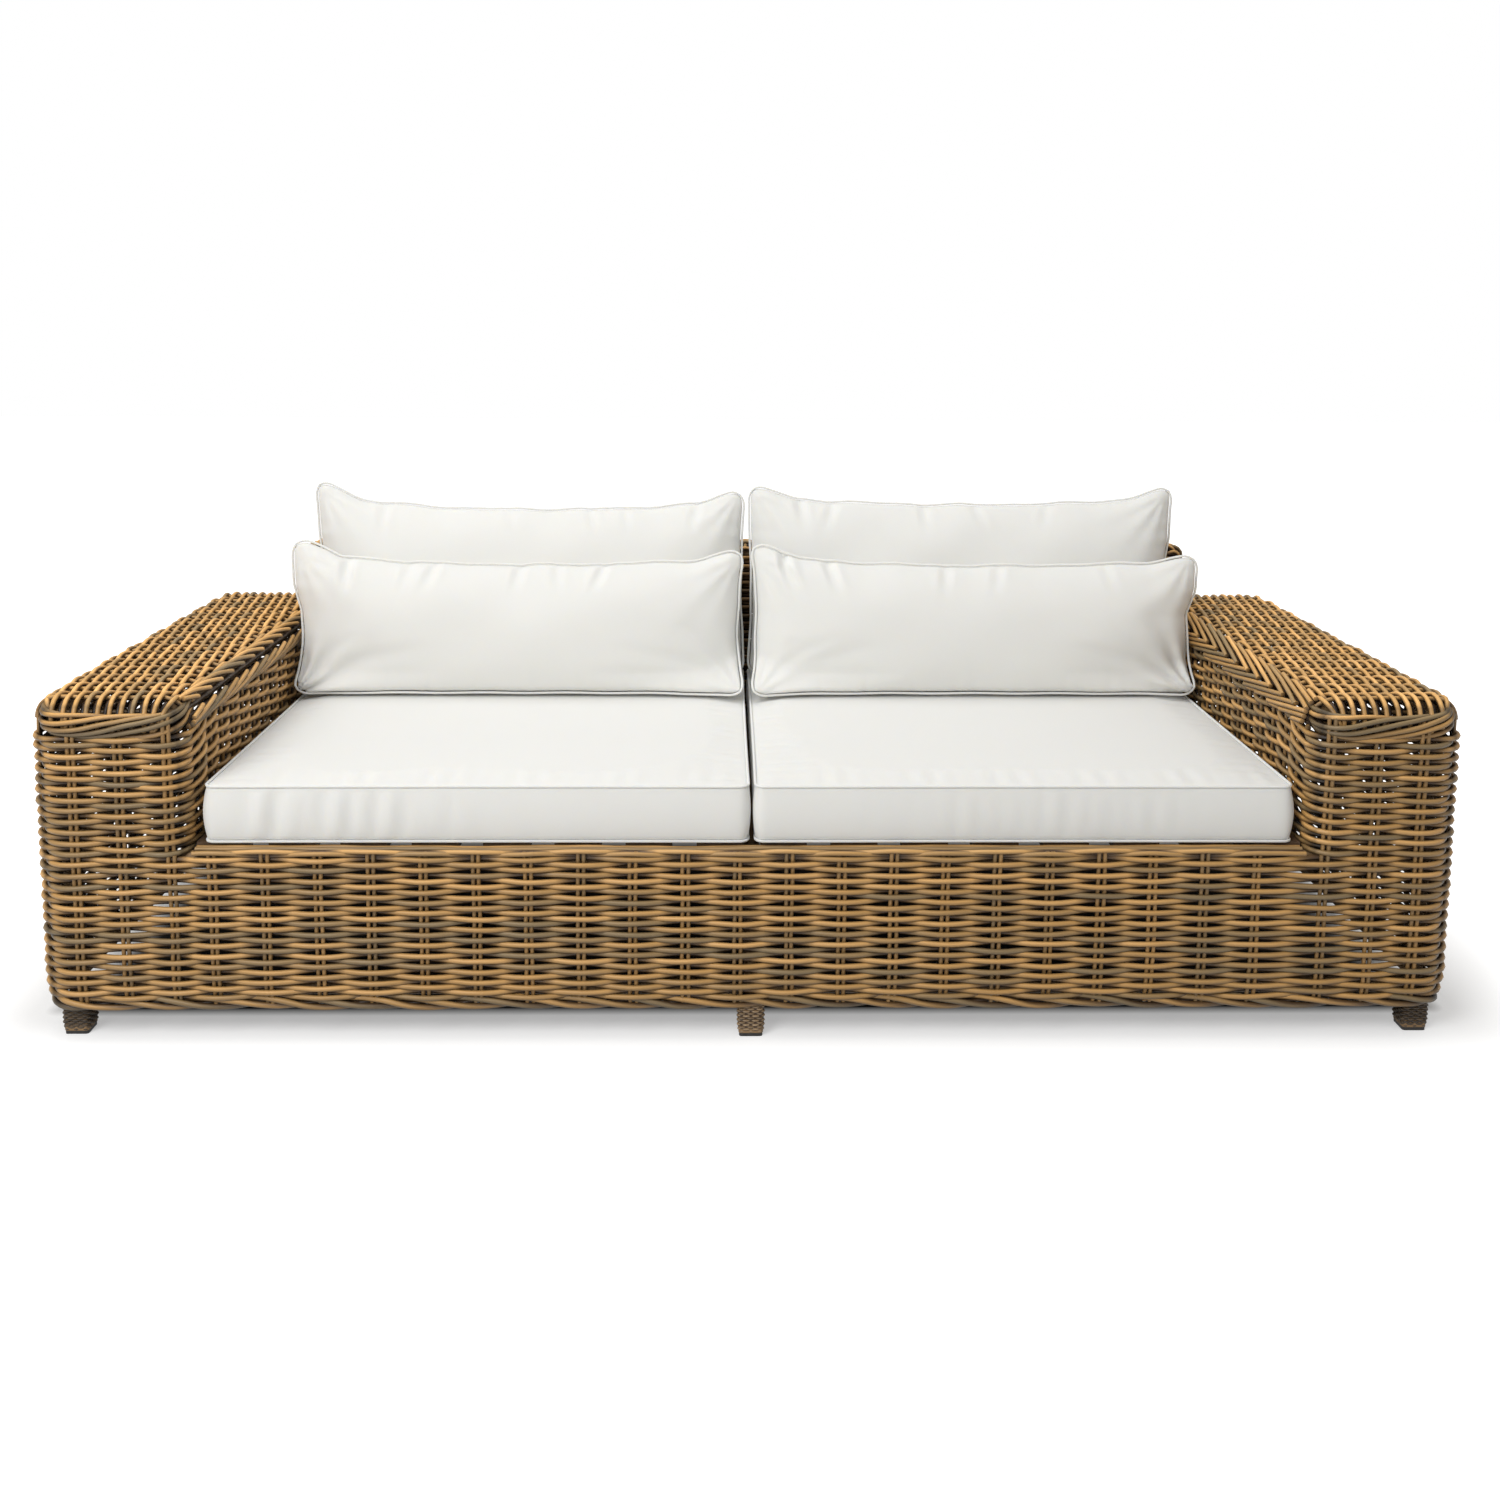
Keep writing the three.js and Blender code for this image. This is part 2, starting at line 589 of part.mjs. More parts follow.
// Outline of a cushion: a rounded rectangle whose sides draw in between the corners
function cushionOutline({ reachX, reachY, roundness, drawnX, drawnTop, drawnBottom = 0, taper = 0 }) {
  const corners = [[1, 1, 0], [-1, 1, 1], [-1, -1, 2], [1, -1, 3]];
  const perCorner = cushionCornerSteps + 1;
  const rounded = corners.flatMap(([sx, sy, quarter]) => Array.from({ length: perCorner }, (_, i) => {
    const angle = (Math.PI / 2) * (quarter + i / cushionCornerSteps);
    return [sx * (reachX - roundness) + roundness * Math.cos(angle),
      sy * (reachY - roundness) + roundness * Math.sin(angle)];
  }));
  const full = rounded.flatMap(([x, y], i) => {
    if (i % perCorner !== cushionCornerSteps) return [[x, y]];
    const [nextX, nextY] = rounded[(i + 1) % rounded.length];
    return Array.from({ length: cushionSideSteps }, (_, k) => (
      [x + ((nextX - x) * k) / cushionSideSteps, y + ((nextY - y) * k) / cushionSideSteps]));
  });
  return full.map(([x, y]) => {
    const alongX = x / reachX;
    const alongY = y / reachY;
    const drawnY = y > 0 ? drawnTop : drawnBottom;
    const narrow = (taper * (1 - alongY)) / 2;
    return new THREE.Vector2(x - alongX * (drawnX * (1 - alongY ** 2) + narrow),
      y - alongY * drawnY * (1 - alongX ** 2));
  });
}

// Cushion solid from rings of [share of the outline, offset beyond it, height or height at a place]
function cushionSolid(outline, rings, centreY = 0) {
  const farX = Math.max(...outline.map((p) => p.x));
  const farY = Math.max(...outline.map((p) => p.y));
  const nearY = Math.min(...outline.map((p) => p.y));
  const places = outline.map((p) => (
    [p.x / farX, (p.y - centreY) / (p.y > centreY ? farY - centreY : centreY - nearY)]));
  const normals = outline.map((_, i) => {
    const next = outline[(i + 1) % outline.length];
    const previous = outline[(i + outline.length - 1) % outline.length];
    const along = next.clone().sub(previous).normalize();
    return new THREE.Vector2(along.y, -along.x);
  });
  return loft(rings.map(([share, offset, height]) => outline.map((p, i) => new THREE.Vector3(
    p.x * share + normals[i].x * offset,
    centreY + (p.y - centreY) * share + normals[i].y * offset,
    typeof height === 'number' ? height : height(places[i][0] * share, places[i][1] * share),
  ))));
}

// Boxed seat cushions with a piped edge above and below and a low crown
function addSeatCushions() {
  const front = -halfDepth + seatFrontSetback;
  const bottom = seatFrameHeight + clearance;
  const rear = backPlaneY(bottom) - clearance - seatBulge;
  const reachY = (rear - front) / 2 - pipingRadius;
  const outerX = armInnerX - cushionSideGap;
  const innerX = seatCentreGap / 2;
  const reachX = (outerX - innerX) / 2 - pipingRadius;
  const outline = cushionOutline({
    reachX, reachY, roundness: seatCornerRadius,
    drawnX: seatDrawnIn, drawnTop: seatDrawnIn, drawnBottom: seatDrawnIn,
  });
  const top = seatCushionHeight;
  const bead = 2 * pipingRadius;
  const crown = (u, v) => (
    top + seatCrown * (1 - Math.abs(u) ** seatCrownPower) * (1 - Math.abs(v) ** seatCrownPower));
  const rings = [
    [1, 0, 0], [1, pipingRadius, pipingRadius], [1, 0, bead], [1, seatBulge - pipingTuck, bead + pipingTuck],
    [1, seatBulge, top / 2], [1, seatBulge - pipingTuck, top - bead - pipingTuck],
    [1, 0, top - bead], [1, pipingRadius, top - pipingRadius], [1, 0, top],
    [1, -pipingTuck, top - pipingTuck * roundedShare],
    ...seatCrownShares.map((share) => [share, 0, crown]),
  ];
  for (const [side, sx] of sides) {
    addMesh(`seat_cushion_${side}`, cushionSolid(outline, rings), paint.fabric)
      .position.set(sx * (innerX + pipingRadius + reachX), (front + rear) / 2, bottom);
  }
  const centreY = (front + rear) / 2;
  return (y) => bottom + crown(0, (y - centreY) / reachY);
}

// Knife-edge cushions that lean on the back, one row behind the other
function addPillows(kind, sizes, seatTopAt, distance) {
  const halfSpan = (armInnerX - sizes.sideGap - sizes.centreGap / 2) / 2;
  const reachX = halfSpan - pipingRadius;
  const reachY = sizes.height / 2 - pipingRadius;
  const outline = cushionOutline({
    reachX, reachY, roundness: pillowCornerRadius, drawnX: sizes.drawnInSide,
    drawnTop: sizes.drawnInTop, taper: sizes.taper,
  });
  const { across, up, edge } = swellPowers;
  const fullness = (u, v) => ((1 - Math.abs(u) ** across) * (1 - Math.abs(v) ** up)) ** edge;
  const swell = (u, v) => (sizes.thickness / 2) * Math.min(1, fullness(u, v) / fullness(0, swellShares[0]));
  const belly = -reachY * bellyShare;
  const rings = [
    ...swellShares.map((share) => [share, 0, (u, v) => -swell(u, v)]),
    [1, 0, -pipingRadius], [1, pipingRadius, 0], [1, 0, pipingRadius],
    ...swellShares.toReversed().map((share) => [share, 0, swell]),
  ];
  const solid = cushionSolid(outline, rings, belly);
  const leaning = solid.rotateX(Math.PI / 2 - backRake);
  leaning.computeBoundingBox();
  const out = distance + sizes.thickness / 2;
  const alongFront = new THREE.Vector3(0, -Math.cos(backRake), Math.sin(backRake));
  const start = new THREE.Vector3(0, backPlaneY(seatFrameHeight), seatFrameHeight)
    .addScaledVector(alongFront, out);
  const seatTop = seatTopAt(start.y + seatCushionHeight * Math.tan(backRake));
  const rise = (seatTop + clearance - leaning.boundingBox.min.z - start.z) / Math.cos(backRake);
  for (const [side, sx] of sides) {
    addMesh(`${kind}_cushion_${side}`, leaning.clone(), paint.fabric).position.set(
      sx * (sizes.centreGap / 2 + halfSpan),
      start.y + rise * Math.sin(backRake),
      start.z + rise * Math.cos(backRake),
    );
  }
}

addLegs();
addRails();
addDecks();
addSkins();
addArmRims();
addArmBraids();
addBaseBorder();
addBackSkins();
addBackBorder();
const seatTopAt = addSeatCushions();
addPillows('back', backCushion, seatTopAt, clearance);
addPillows('lumbar', lumbarCushion, seatTopAt, backCushion.thickness + 2 * clearance);

export default sofa;
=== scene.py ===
"""Woven rattan garden sofa with two seat cushions, two back cushions and two lumbar cushions.

Metres, +Z up, front facing -Y. Every rod of the weave is a rod of its own, laid over and under its stakes.
"""

import math
import random

import bpy
import numpy as np
from bpy.props import FloatProperty, FloatVectorProperty, IntProperty, PointerProperty
from mathutils import Matrix, Vector


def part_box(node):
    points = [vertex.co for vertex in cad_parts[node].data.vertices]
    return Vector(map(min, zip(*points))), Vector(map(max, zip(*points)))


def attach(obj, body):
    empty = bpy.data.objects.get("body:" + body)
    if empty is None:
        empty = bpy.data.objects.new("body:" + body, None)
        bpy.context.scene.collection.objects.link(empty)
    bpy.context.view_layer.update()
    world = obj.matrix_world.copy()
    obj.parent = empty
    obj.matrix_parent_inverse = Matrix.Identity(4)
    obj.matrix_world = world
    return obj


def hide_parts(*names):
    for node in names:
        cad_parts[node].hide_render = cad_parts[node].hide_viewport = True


bl_info = {
    "name": "Rattan garden sofa",
    "version": (1, 0, 0),
    "blender": (4, 5, 0),
    "location": "3D View > Sidebar > Sofa",
    "description": "Weaves and upholsters a rattan garden sofa around its frame",
    "category": "Add Mesh",
}

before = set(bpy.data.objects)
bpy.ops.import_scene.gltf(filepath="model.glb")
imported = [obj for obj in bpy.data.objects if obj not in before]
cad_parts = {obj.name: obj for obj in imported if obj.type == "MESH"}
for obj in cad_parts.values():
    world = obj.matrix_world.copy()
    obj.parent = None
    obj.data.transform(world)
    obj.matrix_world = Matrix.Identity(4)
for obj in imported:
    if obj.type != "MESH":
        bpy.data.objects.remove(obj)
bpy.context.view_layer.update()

SIDES = (("left", -1), ("right", 1))
QUARTER = math.pi / 2
SEED = 7
# Waves of a strip round a foot
WRAP_WAVES = 20
# Rows: the shortest piece, how far each strays up or down, how high over the hem's foot the first one lies,
# and over what height the lowest ones draw in
SHORTEST = 0.002
ROW_SHAKE = 0.0009
FIRST_ROW = 0.018
HEM_REACH = 0.055
# Stakes: how far they reach past the rows, how much painted recess shade darkens them (laid with no weave
# depth, they do not sway), and between which tones they lie
STAKE_ENDS = 0.012
STAKE_PAINTED_SHADE = 0.2
STAKE_TONES = (0.3, 0.8)

# Places taken from the frame
HALF_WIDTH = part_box("skirt_weave_rear")[1].x
HALF_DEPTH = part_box("skirt_weave_rear")[1].y
HEM_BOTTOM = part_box("skirt_weave_front")[0].z
SKIRT_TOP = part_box("skirt_weave_front")[1].z
SEAT_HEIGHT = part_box("base_border_top")[1].z
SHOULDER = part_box("arm_weave_front_right")[1].z
ARM_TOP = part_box("arm_weave_top_right")[1].z
ARM_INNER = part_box("arm_weave_inner_right")[0].x
ARM_WIDTH = HALF_WIDTH - ARM_INNER
BRAID_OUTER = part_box("arm_braid_right")[1].x
BRAID_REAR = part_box("arm_braid_right")[1].y
BACK_HALF_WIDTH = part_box("back_border")[1].x
BACK_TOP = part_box("back_border")[1].z
BACK_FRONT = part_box("back_border")[0].y
BACK_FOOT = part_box("back_border")[0].z
INNER_BACK_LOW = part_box("back_weave_inner")[0]
# Where an arm's top begins to roll down
ROLL_START = ARM_INNER + 0.055
# Where the arm tops' first strand runs, and below which heights rows stay clear of a rim or a braid
STRAND_START = ARM_INNER + 0.033
UNDER_RIM = ARM_TOP - 0.070
UNDER_BRAID = ARM_TOP - 0.058
RIM_TUCK = 0.014
# Over what length the rows on an arm's inner side fan out, and by what share of their height
FAN_REACH = 0.12
FAN_SHARE = 0.16
# Rods in each bundle of a rim, and the turn between two of them
RIM_RODS = 4
RIM_TURN = 0.70

# Painted light and shade on the rods: between which depths inside the arms the painted shade sets in and how
# dark it gets, how dark the painted shade on the back behind the cushions gets, and how much lighter the
# painted light makes the rods near the arm tops
HOLLOW_DEPTHS = (0.013, 0.023)
HOLLOW_PAINTED_SHADE = 0.30
BACK_PAINTED_SHADE = 0.38
TOP_PAINTED_LIGHT = 1.26

# The camera's place, its turn to the right, its dip and its roll, and how the photograph is framed
CAMERA_PLACE = (-0.0502, -2.9341, 1.2308)
CAMERA_YAW = -0.0178
CAMERA_DIP = 0.1287
CAMERA_ROLL = 0.0057
CAMERA_LENS = 36.53
CAMERA_SHIFT = -0.1627


def length(name, description, default):
    """A size in metres that a user can change"""
    return FloatProperty(name=name, description=description, default=default, min=0.0, unit="LENGTH",
                         precision=4)


def colour(name, description, default):
    """A colour that a user can change"""
    return FloatVectorProperty(name=name, description=description, default=default, min=0.0, max=1.0,
                               size=3, subtype="COLOR")


class SofaWeave(bpy.types.PropertyGroup):
    """Sizes of the woven faces"""

    rod: length("Rod diameter", "Thickness of a weaver", 0.0096)
    stake: length("Stake diameter", "Thickness of an upright stake", 0.0072)
    top_rod: length("Top rod diameter", "Thickness of a rod in the arms' tops, braids and back", 0.0084)
    row: length("Row pitch", "Height from one row of weave to the next", 0.0093)
    depth: length("Weave depth", "How far a weaver swings to each side of the stakes", 0.0060)
    inset: length("Stake inset", "Distance from a woven face in to the line of its stakes", 0.011)
    pitch: length("Stake pitch", "Distance between two pairs of stakes", 0.0873)
    pair: length("Pair gap", "Distance between the two stakes of a pair", 0.0098)
    cross_pitch: length("Cross stake pitch", "Distance between the stakes that cross an arm's top", 0.0605)
    border_pitch: length("Border stake pitch", "Distance between the stakes of the back's border", 0.044)
    wobble: length("Wobble", "How far a rod strays from its even line", 0.0015)
    corner: length("Corner radius", "Radius of the sofa's upright corners", 0.065)
    inner_corner: length("Inner corner radius", "Radius of an arm's inner front corner", 0.055)
    tuck: length("Tuck", "How far the lowest rows draw in above the hem", 0.009)


class SofaBorders(bpy.types.PropertyGroup):
    """Sizes of the plaited borders"""

    hem_rod: length("Hem rod diameter", "Thickness of a rod in the hem", 0.0104)
    hem_lay: length("Hem lay", "Length in which a hem rod turns once", 0.262)
    hem_height: length("Hem height", "Upright half size of the hem to its rods' middles", 0.0078)
    hem_depth: length("Hem depth", "Level half size of the hem to its rods' middles", 0.0056)
    rim_rod: length("Rim rod diameter", "Thickness of a rod in the rims", 0.0088)
    rim_lay: length("Rim lay", "Length in which a rim rod turns once", 0.50)
    rim_height: length("Rim height", "Upright half size of the rim to its rods' middles", 0.0175)
    rim_depth: length("Rim depth", "Level half size of the rim to its rods' middles", 0.0080)
    rim_drop: length("Rim drop", "How far the rim's middle lies under the arm's top", 0.0495)
    braid_run: length("Braid run", "How far a braid rod travels along the arm", 0.185)
    braid_roll: length("Braid roll", "How far an arm's inner top edge rolls down under the braid", 0.028)
    wrap: length("Wrap thickness", "Thickness of the strips wound round a foot", 0.0040)


class SofaCushions(bpy.types.PropertyGroup):
    """Sizes of the covers"""

    piping: length("Piping diameter", "Thickness of the piped seams", 0.0050)
    cell: length("Mesh cell", "Size of the cloth mesh's cells", 0.0105)
    lean: FloatProperty(name="Lean", description="Angle at which the back and its cushions lean",
                        default=math.radians(6), subtype="ANGLE")


class SofaColours(bpy.types.PropertyGroup):
    """Colours of the finishes"""

    tan: colour("Tan rod", "Golden side of the natural rod colours", (0.52, 0.287, 0.088))
    grey: colour("Grey rod", "Grey olive side of the natural rod colours", (0.230, 0.162, 0.078))
    # Painted shade: the dark colour that rods turn to in their recesses, behind the stakes and on their inner
    # sides
    painted_recess_shade: colour("Recess", "Dark shade of the rods behind the stakes", (0.035, 0.016, 0.007))
    pole: colour("Pole", "Peeled poles inside the frame", (0.30, 0.18, 0.08))
    foot: colour("Foot wrap", "Strips wound round the feet", (0.30, 0.20, 0.11))
    glide: colour("Glide", "Dark glides under the feet", (0.012, 0.011, 0.010))
    wood: colour("Slats", "Wooden slats under the cushions", (0.11, 0.062, 0.03))
    cloth: colour("Cover", "Off-white cushion covers", (0.775, 0.775, 0.752))


class SofaStage(bpy.types.PropertyGroup):
    """Lights and floor"""

    floor: colour("Floor", "Pale floor under the sofa", (0.62, 0.62, 0.62))
    key: FloatProperty(name="Key light", description="Power of the large front light", default=132.0,
                       min=0.0, unit="POWER")
    fill: FloatProperty(name="Sky light", description="Strength of the light from all sides",
                        default=0.50, min=0.0)
    # Painted shadow: distance over which the floor's glow rises to full white away from the sofa
    fade: length("Fade", "Distance over which the floor's shadow fades to white", 0.34)
    reach: IntProperty(name="Floor reach", description="Half width of the floor in metres", default=14)


class PlanLine:
    """A line seen from above that turns left at rounded corners, with the direction that faces out"""

    step = 0.001

    def __init__(self, corners, radii):
        points, outward = [], []
        start = np.array(corners[0], float)
        for i in range(1, len(corners)):
            here = np.array(corners[i], float)
            heading = here - np.array(corners[i - 1], float)
            heading /= np.hypot(*heading)
            normal = np.array((heading[1], -heading[0]))
            radius = radii[i - 1] if i < len(corners) - 1 else 0.0
            stop = here - heading * radius
            count = max(2, round(np.hypot(*(stop - start)) / self.step))
            points += [start + (stop - start) * k / count for k in range(count)]
            outward += [normal] * count
            turn = np.array((-heading[1], heading[0]))
            centre = stop + turn * radius
            count = round(radius * QUARTER / self.step)
            for k in range(count):
                angle = QUARTER * k / count
                side = normal * math.cos(angle) + heading * math.sin(angle)
                points.append(centre + side * radius)
                outward.append(side)
            start = centre + heading * radius
            last = normal
        points.append(start)
        outward.append(last)
        self.points = np.array(points)
        self.outward = np.array(outward)
        self.along = travelled(self.points)
        self.length = self.along[-1]

    def at(self, along):
        """Places and outward directions at distances along the line"""
        columns = [np.interp(along, self.along, column) for column in (*self.points.T, *self.outward.T)]
        return np.column_stack(columns[:2]), np.column_stack(columns[2:])

    def find(self, x, y):
        """Distance along the line of its point that is nearest to a place"""
        return self.along[np.argmin(np.hypot(self.points[:, 0] - x, self.points[:, 1] - y))]


def linked(name, data):
    """A new object in the scene"""
    thing = bpy.data.objects.new(name, data)
    bpy.context.scene.collection.objects.link(thing)
    return thing


def spread(knots, steps):
    """The knots, with places evenly spread between each two of them"""
    parts = [np.linspace(a, b, steps, endpoint=False) for a, b in zip(knots, knots[1:])]
    return np.concatenate((*parts, [knots[-1]]))


def xyz(x, y, z):
    """Places or directions from their coordinates, any of which may be one number for all"""
    return np.column_stack(np.broadcast_arrays(x, y, z))


def travelled(points):
    """Distance along a row of points, at each of them"""
    steps = np.linalg.norm(np.diff(points, axis=0), axis=1)
    return np.concatenate(([0.0], np.cumsum(steps)))


def natural_tone(rng):
    """Shade of a rod: most are tan, a quarter lean to grey"""
    return rng.uniform(0.45, 1.0) if rng.random() < 0.74 else rng.uniform(0.08, 0.42)


class Rods:
    """Centre lines of rods, gathered before a node tree gives them their thickness"""

    def __init__(self):
        self.points, self.outward, self.phase, self.swing = [], [], [], []
        self.tone, self.travel, self.edges = [], [], []
        self.count = 0

    def add(self, points, outward, phase=0.0, swing=0.0, tone=0.5, closed=False):
        points = np.asarray(points, float)
        n = len(points)
        if n < 2:
            return
        self.points.append(points)
        self.outward.append(np.broadcast_to(outward, (n, 3)))
        self.phase.append(np.broadcast_to(phase, n))
        self.swing.append(np.broadcast_to(swing, n))
        self.tone.append(np.full(n, tone))
        self.travel.append(travelled(points) + tone * 10)
        ids = np.arange(self.count, self.count + n)
        self.edges.append(np.column_stack((ids[:-1], ids[1:])))
        if closed:
            self.edges.append(np.array([[ids[-1], ids[0]]]))
        self.count += n

    def add_joined(self, points, outward, phase, cut, rng):
        """Two weavers that meet at a point of their line, each in a tone of its own"""
        outward = np.broadcast_to(outward, points.shape)
        for part in (slice(0, cut + 1), slice(cut, None)):
            self.add(points[part], outward[part], phase[part], 1.0, natural_tone(rng))

    def guide(self, name):
        """An object of bare edges that carries what the node trees read"""
        mesh = bpy.data.meshes.new(name)
        mesh.vertices.add(self.count)
        mesh.vertices.foreach_set("co", np.concatenate(self.points).ravel())
        edges = np.concatenate(self.edges)
        mesh.edges.add(len(edges))
        mesh.edges.foreach_set("vertices", edges.ravel())
        facing = mesh.attributes.new("outward", "FLOAT_VECTOR", "POINT")
        facing.data.foreach_set("vector", np.concatenate(self.outward).astype(np.float32).ravel())
        for label, values in (("phase", self.phase), ("swing", self.swing), ("tone", self.tone),
                              ("travel", self.travel)):
            layer = mesh.attributes.new(label, "FLOAT", "POINT")
            layer.data.foreach_set("value", np.concatenate(values).astype(np.float32))
        mesh.update()
        return linked(name, mesh)


class Nodes:
    """Short calls for the nodes that the trees of shapes, finishes and light share"""

    def __init__(self, tree):
        self.tree = tree

    def node(self, kind, links=(), **settings):
        """A new node with its settings, and with links or values for its inputs by name or number"""
        node = self.tree.nodes.new(kind)
        for key, value in settings.items():
            setattr(node, key, value)
        for key, value in dict(links).items():
            self.put(node, key, value)
        return node

    def put(self, node, key, value):
        if isinstance(value, bpy.types.NodeSocket):
            self.tree.links.new(value, node.inputs[key])
        else:
            node.inputs[key].default_value = value

    def math(self, operation, *values):
        return self.node("ShaderNodeMath", enumerate(values), operation=operation).outputs[0]

    def times(self, value, factor):
        return self.math("MULTIPLY", value, factor)

    def plus(self, value, other):
        return self.math("ADD", value, other)

    def vector(self, operation, *values):
        made = self.node("ShaderNodeVectorMath", enumerate(values), operation=operation)
        return made.outputs["Value"] if operation in {"LENGTH", "DOT_PRODUCT"} else made.outputs[0]

    def scaled(self, vector, factor):
        return self.node("ShaderNodeVectorMath", {0: vector, "Scale": factor}, operation="SCALE").outputs[0]

    def mapped(self, value, from_min, from_max, to_min=0.0, to_max=1.0):
        """A value carried from one range over to another, and held inside it"""
        return self.node("ShaderNodeMapRange", {"Value": value, "From Min": from_min, "From Max": from_max,
                                                "To Min": to_min, "To Max": to_max}).outputs[0]

    def span(self, value, low, high):
        """A value carried from 0 to 1 over to another range"""
        return self.mapped(value, 0.0, 1.0, low, high)

    def split(self, vector):
        return self.node("ShaderNodeSeparateXYZ", {"Vector": vector}).outputs

    def seen(self, *kinds):
        """Whether a ray of light is of one of these kinds"""
        rays = self.node("ShaderNodeLightPath").outputs
        found = rays[kinds[0]]
        for kind in kinds[1:]:
            found = self.math("MAXIMUM", found, rays[kind])
        return found

    def joined(self, *values):
        return self.node("ShaderNodeCombineXYZ", enumerate(values)).outputs[0]

    def mix(self, factor, first, second):
        node = self.node("ShaderNodeMix", {"Factor": factor}, data_type="RGBA")
        for key, tint in ((6, first), (7, second)):
            self.put(node, key, (*tint, 1.0) if isinstance(tint, tuple) else tint)
        return node.outputs[2]


class Tree(Nodes):
    """A tree of geometry nodes under construction"""

    def __init__(self, name, inputs=()):
        super().__init__(bpy.data.node_groups.new(name, "GeometryNodeTree"))
        face = self.tree.interface
        face.new_socket(name="Geometry", in_out="INPUT", socket_type="NodeSocketGeometry")
        for label, socket, default in inputs:
            item = face.new_socket(name=label, in_out="INPUT", socket_type=socket)
            if default is not None:
                item.default_value = default
        face.new_socket(name="Geometry", in_out="OUTPUT", socket_type="NodeSocketGeometry")
        self.given = self.tree.nodes.new("NodeGroupInput").outputs
        self.result = self.tree.nodes.new("NodeGroupOutput").inputs

    def named(self, name, kind="FLOAT"):
        return self.node("GeometryNodeInputNamedAttribute", {"Name": name}, data_type=kind).outputs[0]

    def noted(self, geometry, name, value, kind="FLOAT", **settings):
        """Geometry with a value stored on it under a name"""
        links = {"Geometry": geometry, "Name": name, "Value": value}
        return self.node("GeometryNodeStoreNamedAttribute", links, data_type=kind, **settings).outputs[0]

    def moved(self, geometry, offset):
        return self.node("GeometryNodeSetPosition", {"Geometry": geometry, "Offset": offset}).outputs[0]

    def tubes(self, curve, diameter):
        """Thickens curves to rods, notes where each point lies round its rod, and finishes the tree"""
        ring = self.node("GeometryNodeCurvePrimitiveCircle", {"Resolution": self.given["Sides"],
                                                              "Radius": self.times(diameter, 0.5)})
        ring = ring.outputs["Curve"]
        place = self.node("GeometryNodeInputPosition").outputs[0]
        ring = self.noted(ring, "around", self.vector("NORMALIZE", place), "FLOAT_VECTOR")
        mesh = self.node("GeometryNodeCurveToMesh",
                         {"Curve": curve, "Profile Curve": ring, "Fill Caps": True}).outputs[0]
        mesh = self.node("GeometryNodeSetShadeSmooth", {"Geometry": mesh}).outputs[0]
        mesh = self.side_shaded(mesh)
        mesh = self.node("GeometryNodeRealizeInstances", {"Geometry": mesh}).outputs[0]
        mesh = self.node("GeometryNodeSetMaterial",
                         {"Geometry": mesh, "Material": self.given["Material"]}).outputs[0]
        self.tree.links.new(mesh, self.result[0])
        return self.tree

    def side_shaded(self, mesh):
        """Adds painted shade on the sides of the rods that face each other or the inside"""
        outward = self.vector("NORMALIZE", self.named("outward", "FLOAT_VECTOR"))
        normal = self.node("GeometryNodeInputNormal").outputs[0]
        side = self.mapped(self.vector("DOT_PRODUCT", normal, outward), 0.45, -0.25, 0.0, 0.9)
        return self.noted(mesh, "painted_recess_shade", self.math("MAXIMUM", side, self.named("painted_recess_shade")), domain="POINT")

    def shaded(self, curve, outness):
        """Notes how far in each point of the rods lies, for the painted shade of the recesses"""
        return self.noted(curve, "painted_recess_shade", self.mapped(outness, 0.0, -0.85), domain="POINT")

    def wobbled(self, curve):
        """Lets every rod stray a little from its even line, as natural rods do"""
        place = self.node("GeometryNodeInputPosition").outputs[0]
        seed = self.plus(self.times(self.named("tone"), 40.0), self.given["Seed"])
        noise = self.node("ShaderNodeTexNoise", {"Vector": place, "W": seed, "Scale": 11.0, "Detail": 1.0},
                          noise_dimensions="4D").outputs["Color"]
        stray = self.vector("SUBTRACT", noise, (0.5, 0.5, 0.5))
        return self.moved(curve, self.scaled(stray, self.times(self.given["Wobble"], 4.0)))


ROD_INPUTS = (
    ("Rod Diameter", "NodeSocketFloat", 0.008),
    ("Wobble", "NodeSocketFloat", 0.001),
    ("Sides", "NodeSocketInt", 8),
    ("Seed", "NodeSocketFloat", float(SEED)),
    ("Material", "NodeSocketMaterial", None),
)


def weaving_tree():
    """Rods that swing out and in past their stakes, as far as the weave is deep"""
    tree = Tree("Woven rods", (("Weave Depth", "NodeSocketFloat", 0.006), *ROD_INPUTS))
    curve = tree.node("GeometryNodeMeshToCurve", {"Mesh": tree.given["Geometry"]}).outputs[0]
    swing = tree.times(tree.math("COSINE", tree.times(tree.named("phase"), math.pi)), tree.named("swing"))
    curve = tree.shaded(curve, swing)
    reach = tree.times(tree.given["Weave Depth"], swing)
    curve = tree.moved(curve, tree.scaled(tree.named("outward", "FLOAT_VECTOR"), reach))
    return tree.tubes(tree.wobbled(curve), tree.given["Rod Diameter"])


